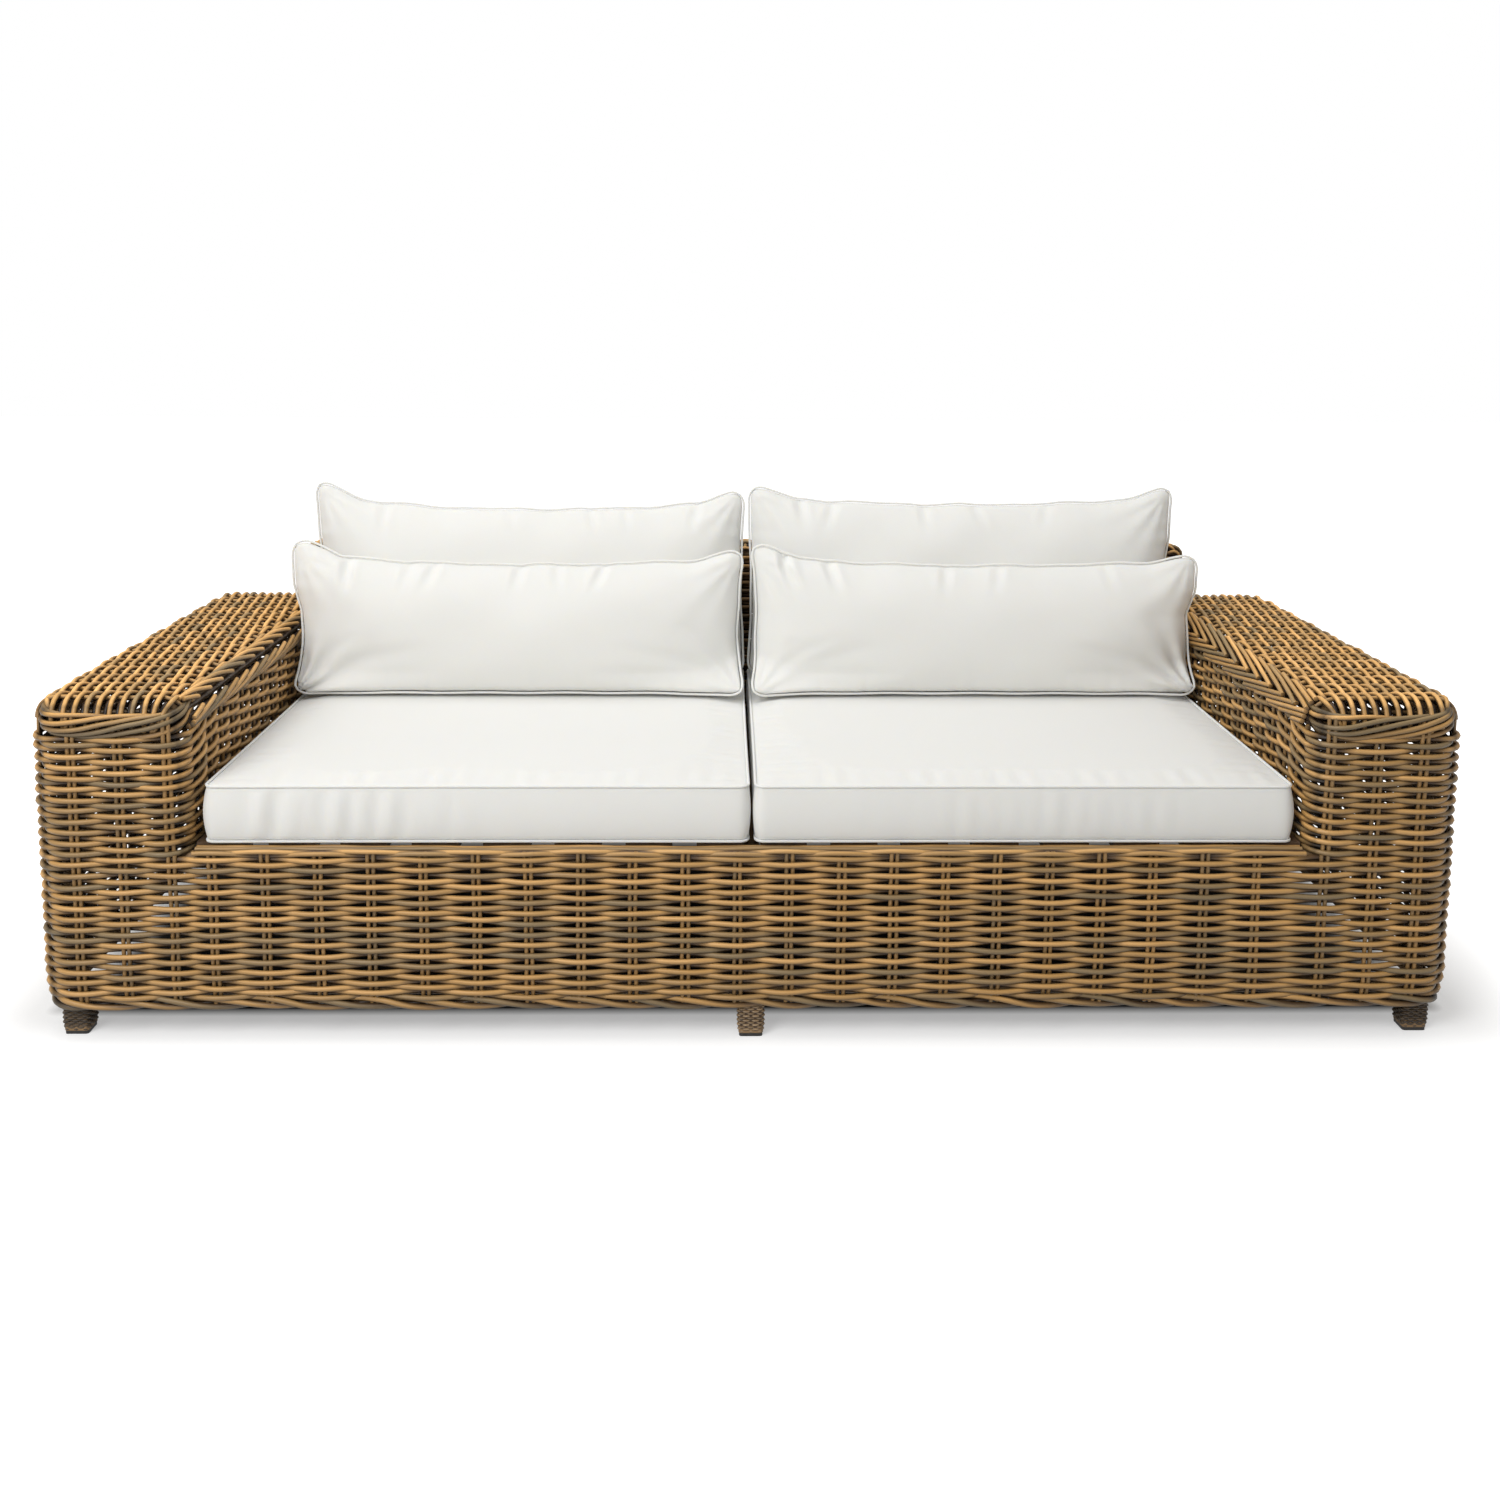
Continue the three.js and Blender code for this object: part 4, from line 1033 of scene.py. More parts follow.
class SOFA_OT_arm_tops(bpy.types.Operator):
    """Weaves the tops of the arms, over the shoulder and down behind the rims"""

    bl_idname = "sofa.arm_tops"
    bl_label = "Arm tops"

    def execute(self, context):
        weave = context.scene.sofa_weave
        section = self.section(context)
        ys = self.stake_ys(context)
        for side, sx in SIDES:
            rng = random.Random(SEED + 10 + sx)
            rods, stakes = Rods(), Rods()
            start = np.interp(STRAND_START, section["x"][:8], section["along"][:8])
            count = round((section["along"][-1] - start) / weave.row)
            for strand in range(count + 1):
                at = start + (section["along"][-1] - start) * strand / count
                x, z, nx, nz = (np.interp(at, section["along"], section[key])
                                for key in ("x", "z", "nx", "nz"))
                y, drop, bend, phase = self.strand(context, x, ys, strand)
                upright = np.sqrt(1 - bend ** 2)
                outward = xyz(sx * nx * upright, bend, nz * upright)
                cut = int(np.argmin(abs(y - rng.uniform(*STRAND_CUTS))))
                rods.add_joined(xyz(sx * (x - nx * drop), y, z - nz * drop), outward, phase, cut, rng)
            for y in ys:
                points = xyz(sx * section["x"], y, section["z"])
                outward = xyz(sx * section["nx"], 0.0, section["nz"])
                stakes.add(points, outward, 1.0, STAKE_PAINTED_SHADE, rng.uniform(*STAKE_TONES))
            spots, facing = self.behind_rim(context)
            for sy in (-1, 1):
                for z in np.arange(*CLOSING_HEIGHTS, weave.row):
                    rods.add(xyz(sx * spots[:, 0], -sy * spots[:, 1], z),
                             xyz(sx * facing[:, 0], -sy * facing[:, 1], 0.0), 1.0, 0.0, 0.4)
            laid(rods, f"arm_top_weavers_{side}", "weave", f"arm_weave_top_{side}", diameter=weave.top_rod)
            laid(stakes, f"arm_top_stakes_{side}", "weave", diameter=weave.top_rod, depth=0.0)
        return {"FINISHED"}

    def behind_rim(self, context):
        """Line of the rows that close the arm behind its rim, from the inner side round the outer corner"""
        weave = context.scene.sofa_weave
        x = HALF_WIDTH - CLOSING_INSETS[0]
        y = HALF_DEPTH - CLOSING_INSETS[1]
        line = PlanLine([(ARM_INNER + 0.03, -y), (x, -y), (x, CLOSING_STOP)], [weave.corner - CLOSING_TURN])
        return line.at(np.linspace(0.0, line.length, 24))

    def section(self, context):
        """The line of the cross stakes, from the braid over the shoulder, with its outward directions"""
        weave = context.scene.sofa_weave
        shoulder = ARM_TOP - SHOULDER
        centre_x = HALF_WIDTH - shoulder
        rolled = np.linspace(ARM_INNER + 0.014, ROLL_START, 6, endpoint=False)
        flat = np.linspace(ROLL_START, centre_x, 8, endpoint=False)
        x = np.concatenate((rolled, flat))
        z = arm_surface(x)
        slope = np.gradient(z, x)
        steep = np.hypot(slope, 1.0)
        nx, nz = -slope / steep, 1 / steep
        angles = np.linspace(QUARTER, 0.0, 10)
        nx = np.concatenate((nx, np.cos(angles)))
        nz = np.concatenate((nz, np.sin(angles)))
        x = np.concatenate((x, centre_x + shoulder * np.cos(angles))) - nx * weave.inset
        z = np.concatenate((z, SHOULDER + shoulder * np.sin(angles))) - nz * weave.inset
        return {"x": x, "z": z, "nx": nx, "nz": nz, "along": travelled(np.column_stack((x, z)))}

    def stake_ys(self, context):
        """Places of the cross stakes along the arm"""
        weave = context.scene.sofa_weave
        reach = HALF_DEPTH - 0.052
        count = 2 * round(reach / weave.cross_pitch - 0.5) + 1
        return np.linspace(-reach, reach, count + 1)

    def strand(self, context, x, ys, number):
        """One weaver along the arm, which arches down behind the rims at both ends"""
        weave = context.scene.sofa_weave
        corner_x = HALF_WIDTH - weave.corner
        radius = weave.corner - STRAND_INSET
        bulge = math.sqrt(max(0.0, radius ** 2 - max(0.0, x - corner_x) ** 2))
        end = HALF_DEPTH - weave.corner + bulge
        first = ys[0] + (radius - bulge) * 0.8
        angles = np.linspace(0.0, QUARTER, 6)
        arch_y = np.concatenate(([-end], -end + (first + end) * (1 - np.cos(angles))))
        arch_drop = np.concatenate(([STRAND_FALL + 0.02], STRAND_FALL * (1 - np.sin(angles))))
        arch_bend = -np.concatenate(([1.0], np.cos(angles)))
        knots = spread(ys, POINTS_PER_GAP)
        knots = knots[(knots > first + 0.003) & (knots < -first - 0.003)]
        y = np.concatenate((arch_y, knots, -arch_y[::-1]))
        drop = np.concatenate((arch_drop, np.zeros(len(knots)), arch_drop[::-1]))
        bend = np.concatenate((arch_bend, np.zeros(len(knots)), -arch_bend[::-1]))
        phase = np.interp(np.clip(y, ys[0], ys[-1]), ys, np.arange(len(ys))) + number
        return y, drop, np.clip(bend, -0.999, 0.999), phase


# Over what length a rim's inner and outer ends run out, and how far they rise, draw in and close up there
RIM_ENDS = ((0.16, 0.026, 0.008, 0.60), (0.17, 0.027, 0.024, 0.45))
# Where a rim's line starts on the arm's inner side, and where it ends on its outer side
RIM_START = (ARM_INNER + 0.018, -0.375)
RIM_STOP = -0.400


class SOFA_OT_rims(bpy.types.Operator):
    """Rolls rope-like rims over the front and rear edges of the arms"""

    bl_idname = "sofa.rims"
    bl_label = "Arm rims"

    def execute(self, context):
        borders = context.scene.sofa_borders
        inset = borders.rim_depth + borders.rim_rod / 2 - 0.001
        for side, sx in SIDES:
            for end, sy in (("front", 1), ("rear", -1)):
                line = self.line(context, inset)
                along = np.append(np.arange(0.0, line.length, 0.008), line.length)
                spots, facing = line.at(along)
                z, drawn, swing = ARM_TOP - borders.rim_drop, 0.0, 1.0
                for away, (reach, rise, draw, close) in zip((along, line.length - along), RIM_ENDS):
                    ended = 1 - np.sin(np.clip(away / reach, 0.0, 1.0) * QUARTER)
                    z, drawn, swing = z + ended * rise, drawn + ended * draw, swing - ended * close
                spots = spots - facing * drawn[:, None]
                if end == "rear":
                    z = np.minimum(z, ARM_TOP - borders.rim_height - borders.rim_rod / 2)
                rods = Rods()
                rods.add(xyz(sx * spots[:, 0], sy * spots[:, 1], z),
                         xyz(sx * facing[:, 0], sy * facing[:, 1], 0.0), swing=swing)
                lay = borders.rim_lay * sy
                middle = line.find(ARM_INNER + ARM_WIDTH / 2, -HALF_DEPTH)
                start = -(2 * math.pi * middle / lay + RIM_TURN * (RIM_RODS - 1) / 2)
                nodes = [f"arm_rim_{side}"] if end == "front" else []
                roped(rods, f"arm_rim_rods_{end}_{side}", *nodes, Rod_Diameter=borders.rim_rod, Wobble=0.0016,
                      Bundles=2, Rods_in_Bundle=RIM_RODS, Rod_Turn=RIM_TURN, Half_Depth=borders.rim_depth,
                      Half_Height=borders.rim_height, Lay=lay, Start_Turn=start)
        return {"FINISHED"}

    def line(self, context, inset):
        """Right arm's front edge, from under its braid round the front to its outer side"""
        weave = context.scene.sofa_weave
        x = HALF_WIDTH - inset
        y = HALF_DEPTH - inset
        return PlanLine([RIM_START, (RIM_START[0], -y), (x, -y), (x, RIM_STOP)],
                        [weave.inner_corner - inset, weave.corner - inset])


# Where the braids end in front, and where their first rod starts
BRAID_FRONT = -0.452
BRAID_FIRST = -0.46
# Where a slanting rod of a braid starts across the arm and how far it crosses, in its upper and lower course
BRAID_UPPER = (0.9585, -0.0235)
BRAID_LOWER = (0.9325, 0.001)
BRAID_RISE = (0.5370, 0.0270)
# Rods that fill the hollow under the slanting ones, painted fully in the dark recess shade
BRAID_CORES = ((0.947, 0.563), (0.9425, 0.549), (0.9425, 0.5405))


class SOFA_OT_braids(bpy.types.Operator):
    """Lays the herringbone braids along the arms' inner top edges"""

    bl_idname = "sofa.braids"
    bl_label = "Arm braids"

    def execute(self, context):
        weave = context.scene.sofa_weave
        borders = context.scene.sofa_borders
        count = int((BRAID_REAR + 0.48) / weave.cross_pitch)
        for side, sx in SIDES:
            rng = random.Random(SEED + 20 + sx)
            rods = Rods()
            crossed, run, lift = self.slant(sx, np.linspace(0.0, 1.0, 13))
            upper_x = BRAID_UPPER[0] + BRAID_UPPER[1] * crossed
            lower_x = BRAID_LOWER[0] + BRAID_LOWER[1] * crossed - lift * 0.4
            upper_z = arm_surface(upper_x) - weave.top_rod / 2 + lift
            lower_z = BRAID_RISE[0] + BRAID_RISE[1] * crossed
            for number in range(-2, count + 1):
                along = BRAID_FIRST + number * weave.cross_pitch + borders.braid_run * run
                kept = (along > BRAID_FRONT) & (along < BRAID_REAR)
                for x, z in ((upper_x, upper_z), (lower_x, lower_z)):
                    points = xyz(sx * (x + rng.uniform(-0.0006, 0.0006)), along, z)
                    rods.add(points[kept], (-sx, 0.0, 1.0), tone=natural_tone(rng))
            for x, z in BRAID_CORES:
                points = xyz(sx * x, np.linspace(-0.44, BRAID_REAR, 40), z)
                # Painted shade: with no weave depth, the swing only darkens these rods to the recess colour
                rods.add(points, (-sx, 0.0, 1.0), phase=1.0, swing=1.0, tone=0.2)
            laid(rods, f"arm_braid_rods_{side}", "braid", f"arm_braid_{side}",
                 diameter=weave.top_rod, depth=0.0, wobble=0.0006)
        return {"FINISHED"}

    def slant(self, sx, steps):
        """How far along its length a slanting rod has crossed the braid, run along the arm, and lifts"""
        if sx < 0:
            return 0.80 * steps ** 2.3, steps, 0.0085 * np.clip(steps * 1.5, 0.0, 1.0) - 0.0075
        return steps, 1 - steps, 0.001 - 0.006 * steps ** 3


class SOFA_OT_hem(bpy.types.Operator):
    """Lays the slanting rods of the hem and the arched rods under the cushions"""

    bl_idname = "sofa.hem"
    bl_label = "Hem and seat border"

    def execute(self, context):
        weave = context.scene.sofa_weave
        borders = context.scene.sofa_borders
        line = base_line(weave.inset + 0.001)
        x = HALF_WIDTH - weave.inset
        halves = (("front", line.find(-x, 0.0), line.find(x, 0.0)),
                  ("rear", line.find(x, 0.0), line.find(-x, 0.0) + line.length))
        for name, start, stop in halves:
            rods = Rods()
            along = np.append(np.arange(start, stop, 0.011), stop)
            spots, facing = line.at(along % line.length)
            height = HEM_BOTTOM + borders.hem_height + borders.hem_rod / 2 - 0.001
            wave = 0.0012 * np.sin(along * 31.0) + 0.0008 * np.sin(along * 13.0 + 1.0)
            points = xyz(*(spots - facing * hem_tuck(height)).T, height + wave)
            rods.add(points, xyz(*facing.T, 0.0), swing=1.0)
            roped(rods, f"hem_rods_{name}", Rod_Diameter=borders.hem_rod, Wobble=weave.wobble,
                  Bundles=3, Rods_in_Bundle=1, Rod_Turn=0.0, Half_Depth=borders.hem_depth,
                  Half_Height=borders.hem_height, Lay=-borders.hem_lay, Start_Turn=0.0)
        self.seat_border(context)
        return {"FINISHED"}

    def seat_border(self, context):
        """Rods that arch over the stakes just under the cushions"""
        weave = context.scene.sofa_weave
        rng = random.Random(SEED + 30)
        rods = Rods()
        reach = ARM_INNER - 0.002
        places = front_stake_places()
        x = spread([-reach, *places, reach], POINTS_PER_GAP)
        phase = np.interp(x, places, np.arange(len(places)))
        front = -HALF_DEPTH + weave.inset
        top = SEAT_HEIGHT - weave.top_rod / 2
        courses = ((front, SKIRT_TOP + 0.0015, 0.0034, 1.0), (front + 0.001, top - 0.0045, 0.0030, 1.0),
                   (front + 0.0125, top - 0.0035, 0.0, 0.2), (front + 0.0205, top - 0.0035, 0.0, 0.2),
                   (front + 0.012, top - 0.012, 0.0, 0.2), (front + 0.0215, top - 0.012, 0.0, 0.2))
        for number, (y, z, arch, swing) in enumerate(courses):
            wave = np.cos((phase + number) * math.pi)
            rods.add(xyz(x, y, z + arch * wave), (0.0, -1.0, 0.0), phase + number, swing, natural_tone(rng))
        laid(rods, "seat_border_rods", "braid", "base_border_top", diameter=weave.top_rod)


# Radius of the back's upper corners, and how far its border's outermost rods and stakes drop
BACK_CORNER = 0.038
BORDER_DROP = 0.010
STAKE_DROP = 0.008


class SOFA_OT_back(bpy.types.Operator):
    """Weaves the inner face of the back and the border over its edge"""

    bl_idname = "sofa.back"
    bl_label = "Back"

    def execute(self, context):
        weave = context.scene.sofa_weave
        lean = context.scene.sofa_cushions.lean
        rng = random.Random(SEED + 40)
        outward = np.array((0.0, -math.cos(lean), math.sin(lean)))
        places = front_stake_places()
        rods, stakes = Rods(), Rods()
        rows = int((BACK_TOP - weave.rod * 2 - SEAT_HEIGHT) / (weave.row * math.cos(lean)))
        for row in range(rows):
            z = SEAT_HEIGHT + weave.row * math.cos(lean) * (row + 0.5)
            reach = ARM_INNER - 0.004 if z < BACK_FOOT else BACK_HALF_WIDTH - 0.024
            x = spread([-reach, *places, reach], 6)
            phase = np.interp(x, places, np.arange(len(places)))
            points = xyz(x, self.plane(lean, z) + weave.inset, z)
            rods.add_joined(points, outward, phase + row, len(x) * rng.randint(3, 7) // 10, rng)
        heights = np.linspace(SEAT_HEIGHT, BACK_TOP - STAKE_ENDS, 5)
        for x in places:
            for shift in (-weave.pair / 2, weave.pair / 2):
                points = xyz(x + shift, self.plane(lean, heights) + weave.inset, heights)
                stakes.add(points, outward, tone=rng.uniform(0.2, 0.8))
        laid(rods, "back_weavers_inner", "weave", "back_weave_inner", sides=6)
        laid(stakes, "back_stakes_inner", "weave", diameter=weave.stake, depth=0.0)
        self.border(context, rng)
        return {"FINISHED"}

    def plane(self, lean, z):
        """How far back the inner face lies at a height"""
        return INNER_BACK_LOW.y + (z - INNER_BACK_LOW.z) * math.tan(lean)

    def border(self, context, rng):
        """A band of rods over cross stakes, round the back's edge from arm to arm"""
        weave = context.scene.sofa_weave
        inset = weave.inset
        radius = BACK_CORNER - inset
        x = BACK_HALF_WIDTH - inset
        top = BACK_TOP - inset
        line = PlanLine([(x, BACK_FOOT), (x, top), (-x, top), (-x, BACK_FOOT)], [radius, radius])
        marks = np.linspace(0.0, line.length, 2 * round(line.length / weave.border_pitch / 2) + 1)
        along = spread(marks, 6)
        phase = np.interp(along, marks, np.arange(len(marks)))
        spots, facing = line.at(along)
        rods, stakes = Rods(), Rods()
        front = BACK_FRONT + weave.rod / 2
        rear = HALF_DEPTH - weave.rod / 2
        count = round((rear - front) / weave.row)
        for strand in range(count + 1):
            share = strand / count
            y = front + (rear - front) * share
            edge = 1 - min(1.0, min(share, 1 - share) * count / 1.6)
            drop = BORDER_DROP * edge ** 2
            x, z = (spots - facing * drop).T
            outward = xyz(facing[:, 0], 0.0, facing[:, 1])
            rods.add_joined(xyz(x, y, z), outward, phase + strand, len(along) * rng.randint(3, 7) // 10, rng)
        ys = np.linspace(front, rear, 6)
        drop = STAKE_DROP * np.abs(np.linspace(-1, 1, 6)) ** 6
        for mark in marks:
            (x, z), (nx, nz) = (columns[0] for columns in line.at(np.array([mark])))
            stakes.add(xyz(x - nx * drop, ys, z - nz * drop), (nx, 0.0, nz), tone=rng.uniform(0.2, 0.8))
        laid(rods, "back_border_weavers", "braid", "back_border", diameter=weave.top_rod)
        laid(stakes, "back_border_stakes", "braid", diameter=weave.stake, depth=0.0)


# Beginnings of the names of the frame's nodes that keep their shape, by their finish
KEPT_NODES = {
    "pole": ("bottom_rail", "seat_rail", "seat_bearer", "strut", "arm_rail", "arm_post", "back_post",
             "back_top_rail", "leg", "foot"),
    "glide": ("glide",),
    "slat": ("seat_deck",),
}


class SOFA_OT_feet(bpy.types.Operator):
    """Winds strips round the feet and finishes poles, slats and glides"""

    bl_idname = "sofa.feet"
    bl_label = "Feet and poles"

    def execute(self, context):
        for node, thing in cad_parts.items():
            for name, beginnings in KEPT_NODES.items():
                if node.startswith(beginnings):
                    thing.data.materials.clear()
                    thing.data.materials.append(finish(name))
            if node.startswith(("leg_", "foot_")):
                self.wrap(node, context.scene.sofa_borders.wrap)
        return {"FINISHED"}

    def wrap(self, node, thickness):
        """A strip wound round a square foot from its glide up to the hem"""
        low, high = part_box(node.replace("leg", "glide").replace("foot", "glide"))
        centre = (low + high) / 2
        half = (high.x - low.x) / 2 + 0.001
        bottom = high.z + 0.0005
        top = HEM_BOTTOM + 0.004
        turns = int((top - bottom) / (thickness * 0.95))
        line = round_line(half, half, 0.006)
        rng = random.Random(SEED + len(node))
        rods = Rods()
        count = 4 * WRAP_WAVES
        around, facing = line.at(np.linspace(0.0, line.length, count, endpoint=False))
        phase = np.linspace(0, WRAP_WAVES, count, endpoint=False)
        for turn in range(turns):
            share = turn / turns
            flare = -0.0022 * max(0.0, 1 - share * 4) ** 2 - 0.001 * max(0.0, share * 4 - 3)
            z = bottom + thickness / 2 + (top - bottom) * share
            x, y = (around + facing * flare).T
            rods.add(xyz(centre.x + x, centre.y + y, z), xyz(*facing.T, 0.0), phase + turn, 1.0,
                     rng.uniform(0.2, 1.0), closed=True)
        laid(rods, f"{node}_wrap", "foot_wrap", sides=6, diameter=thickness, depth=0.0012, wobble=0.0003,
             material="wrap")


# Radii of the covers' corners
PILLOW_CORNER = 0.034
SEAT_CORNER = 0.016
# How high the seat cushions' tops rise in their middle, and how far their sides draw in there
SEAT_CROWN = 0.006
SEAT_DRAWN = 0.0015
SEAT_RINGS = 10


def square_to_round(x, y, half_x, half_y, radius):
    """Turns the square corners of a rectangle's grid into round ones"""
    over_x = np.clip((np.abs(x) - (half_x - radius)) / radius, 0.0, 1.0)
    over_y = np.clip((np.abs(y) - (half_y - radius)) / radius, 0.0, 1.0)
    round_x = over_x * np.sqrt(1 - over_y ** 2 / 2)
    round_y = over_y * np.sqrt(1 - over_x ** 2 / 2)
    new_x = np.sign(x) * (np.abs(x) - over_x * radius + round_x * radius)
    new_y = np.sign(y) * (np.abs(y) - over_y * radius + round_y * radius)
    return new_x, new_y


def panel_grid(half_x, half_y, cell):
    """Shares from -1 to 1 for a grid of points, its faces, and the loop of its edge"""
    count_x, count_y = (2 * round(half / cell) for half in (half_x, half_y))
    u, v = np.meshgrid(np.linspace(-1, 1, count_x + 1), np.linspace(-1, 1, count_y + 1))
    numbers = np.arange((count_x + 1) * (count_y + 1)).reshape(count_y + 1, count_x + 1)
    corners = (numbers[:-1, :-1], numbers[:-1, 1:], numbers[1:, 1:], numbers[1:, :-1])
    faces = np.stack(corners, axis=-1).reshape(-1, 4)
    edge = np.concatenate((numbers[0, :-1], numbers[:-1, -1], numbers[-1, :0:-1], numbers[:0:-1, 0]))
    return u.ravel(), v.ravel(), faces, edge


def cloth_object(name, points, faces, flat):
    """A mesh with its flat cloth places kept for the weave of the cover"""
    mesh = bpy.data.meshes.new(name)
    mesh.from_pydata([tuple(p) for p in points], [], [tuple(int(i) for i in face) for face in faces])
    layer = mesh.attributes.new("cloth", "FLOAT_VECTOR", "POINT")
    layer.data.foreach_set("vector", np.asarray(flat, np.float32).ravel())
    mesh.polygons.foreach_set("use_smooth", [True] * len(mesh.polygons))
    mesh.update()
    return linked(name, mesh)


def places_of(thing):
    points = np.empty(len(thing.data.vertices) * 3)
    thing.data.vertices.foreach_get("co", points)
    return points.reshape(-1, 3)


def put_places(thing, points):
    thing.data.vertices.foreach_set("co", points.ravel())
    thing.data.update()


def ripple(along, rate, rng):
    """An even wave with a random start"""
    return np.sin(along * rate + rng.uniform(0, 6))


# Settings of the cloth that the covers are filled as
COVER_CLOTH = {
    "quality": 6, "mass": 0.25, "tension_stiffness": 30, "compression_stiffness": 8, "shear_stiffness": 8,
    "bending_stiffness": 0.8, "air_damping": 4, "use_pressure": True, "uniform_pressure_force": 4.0,
    "vertex_group_mass": "seam", "vertex_group_shrink": "loose", "shrink_min": 0.0, "shrink_max": -0.05,
}
COVER_FRAMES = 20


def puff(thing, pinned, slack, cap):
    """Fills a cover: cloth with air pressure, held at its seams, then kept within a cap of its start"""
    start = places_of(thing)
    seam = thing.vertex_groups.new(name="seam")
    seam.add([int(i) for i in pinned], 1.0, "REPLACE")
    loose = thing.vertex_groups.new(name="loose")
    for number in np.flatnonzero(slack > 0):
        loose.add([int(number)], float(slack[number]), "REPLACE")
    modifier = thing.modifiers.new("Cover", "CLOTH")
    for key, value in COVER_CLOTH.items():
        setattr(modifier.settings, key, value)
    modifier.settings.effector_weights.gravity = 0
    modifier.collision_settings.use_collision = False
    scene = bpy.context.scene
    for number in range(1, COVER_FRAMES + 1):
        scene.frame_set(number)
    depsgraph = bpy.context.evaluated_depsgraph_get()
    swollen = places_of(thing.evaluated_get(depsgraph))
    thing.modifiers.clear()
    thing.vertex_groups.clear()
    scene.frame_set(1)
    moved = swollen - start
    size = np.linalg.norm(moved, axis=1)
    factor = np.where(size > cap, cap / np.maximum(size, 1e-9), 1.0)
    put_places(thing, start + moved * factor[:, None])


def smoothed(thing):
    """One level of subdivision, applied"""
    modifier = thing.modifiers.new("Smooth", "SUBSURF")
    modifier.levels = 1
    modifier.render_levels = 1
    depsgraph = bpy.context.evaluated_depsgraph_get()
    mesh = bpy.data.meshes.new_from_object(thing.evaluated_get(depsgraph))
    thing.modifiers.clear()
    thing.data = mesh


def piping(name, loops, diameter, body):
    """Adds piped seams along closed loops of points"""
    rods = Rods()
    for points in loops:
        rods.add(points, (0.0, 0.0, 1.0), tone=0.5, closed=True)
    piece = woven(rods, name, diameter=diameter, depth=0.0, wobble=0.0, material="cloth")
    settled(piece, body, "cushion")


# How far each cushion's left and right ear rise over its frame piece, and how far its top edge sags below it
PILLOW_TOPS = {
    "back_cushion_left": (0.022, 0.004, 0.038),
    "back_cushion_right": (0.014, 0.013, 0.025),
    "lumbar_cushion_left": (0.034, 0.012, 0.018),
    "lumbar_cushion_right": (0.028, 0.004, 0.018),
}
# Pinches along the top seams, as shares of the half width, and their depths
PILLOW_PINCHES = {
    "back_cushion_left": ((-0.7, 0.003), (-0.1, 0.002), (0.28, 0.003), (0.45, 0.002), (0.8, 0.002)),
    "back_cushion_right": ((-0.78, 0.004), (-0.62, 0.003), (-0.18, 0.003), (0.06, 0.003), (0.42, 0.002)),
    "lumbar_cushion_left": ((-0.78, 0.007), (-0.5, 0.004), (-0.385, 0.005), (0.0, 0.005), (0.16, 0.003),
                            (0.38, 0.006)),
    "lumbar_cushion_right": ((-0.86, 0.007), (-0.66, 0.006), (-0.12, 0.004), (0.12, 0.003), (0.6, 0.002)),
}
# How thick a cushion is, how far its bottom seam comes forward, how far its sides stand out at the
# arm, above it, and inside, and how far they are drawn in between the corners there
PILLOW_SHAPES = {
    "back": {"thickness": 0.150, "forward": 0.030, "corner": 0.0, "arm_side": 0.010, "ear_side": 0.019,
             "inside": 0.0148, "drawn_outside": 0.012, "drawn_inside": 0.007},
    "lumbar": {"thickness": 0.138, "forward": 0.066, "corner": 0.026, "arm_side": 0.0045, "ear_side": 0.022,
               "inside": 0.0100, "drawn_outside": 0.006, "drawn_inside": 0.0155},
}


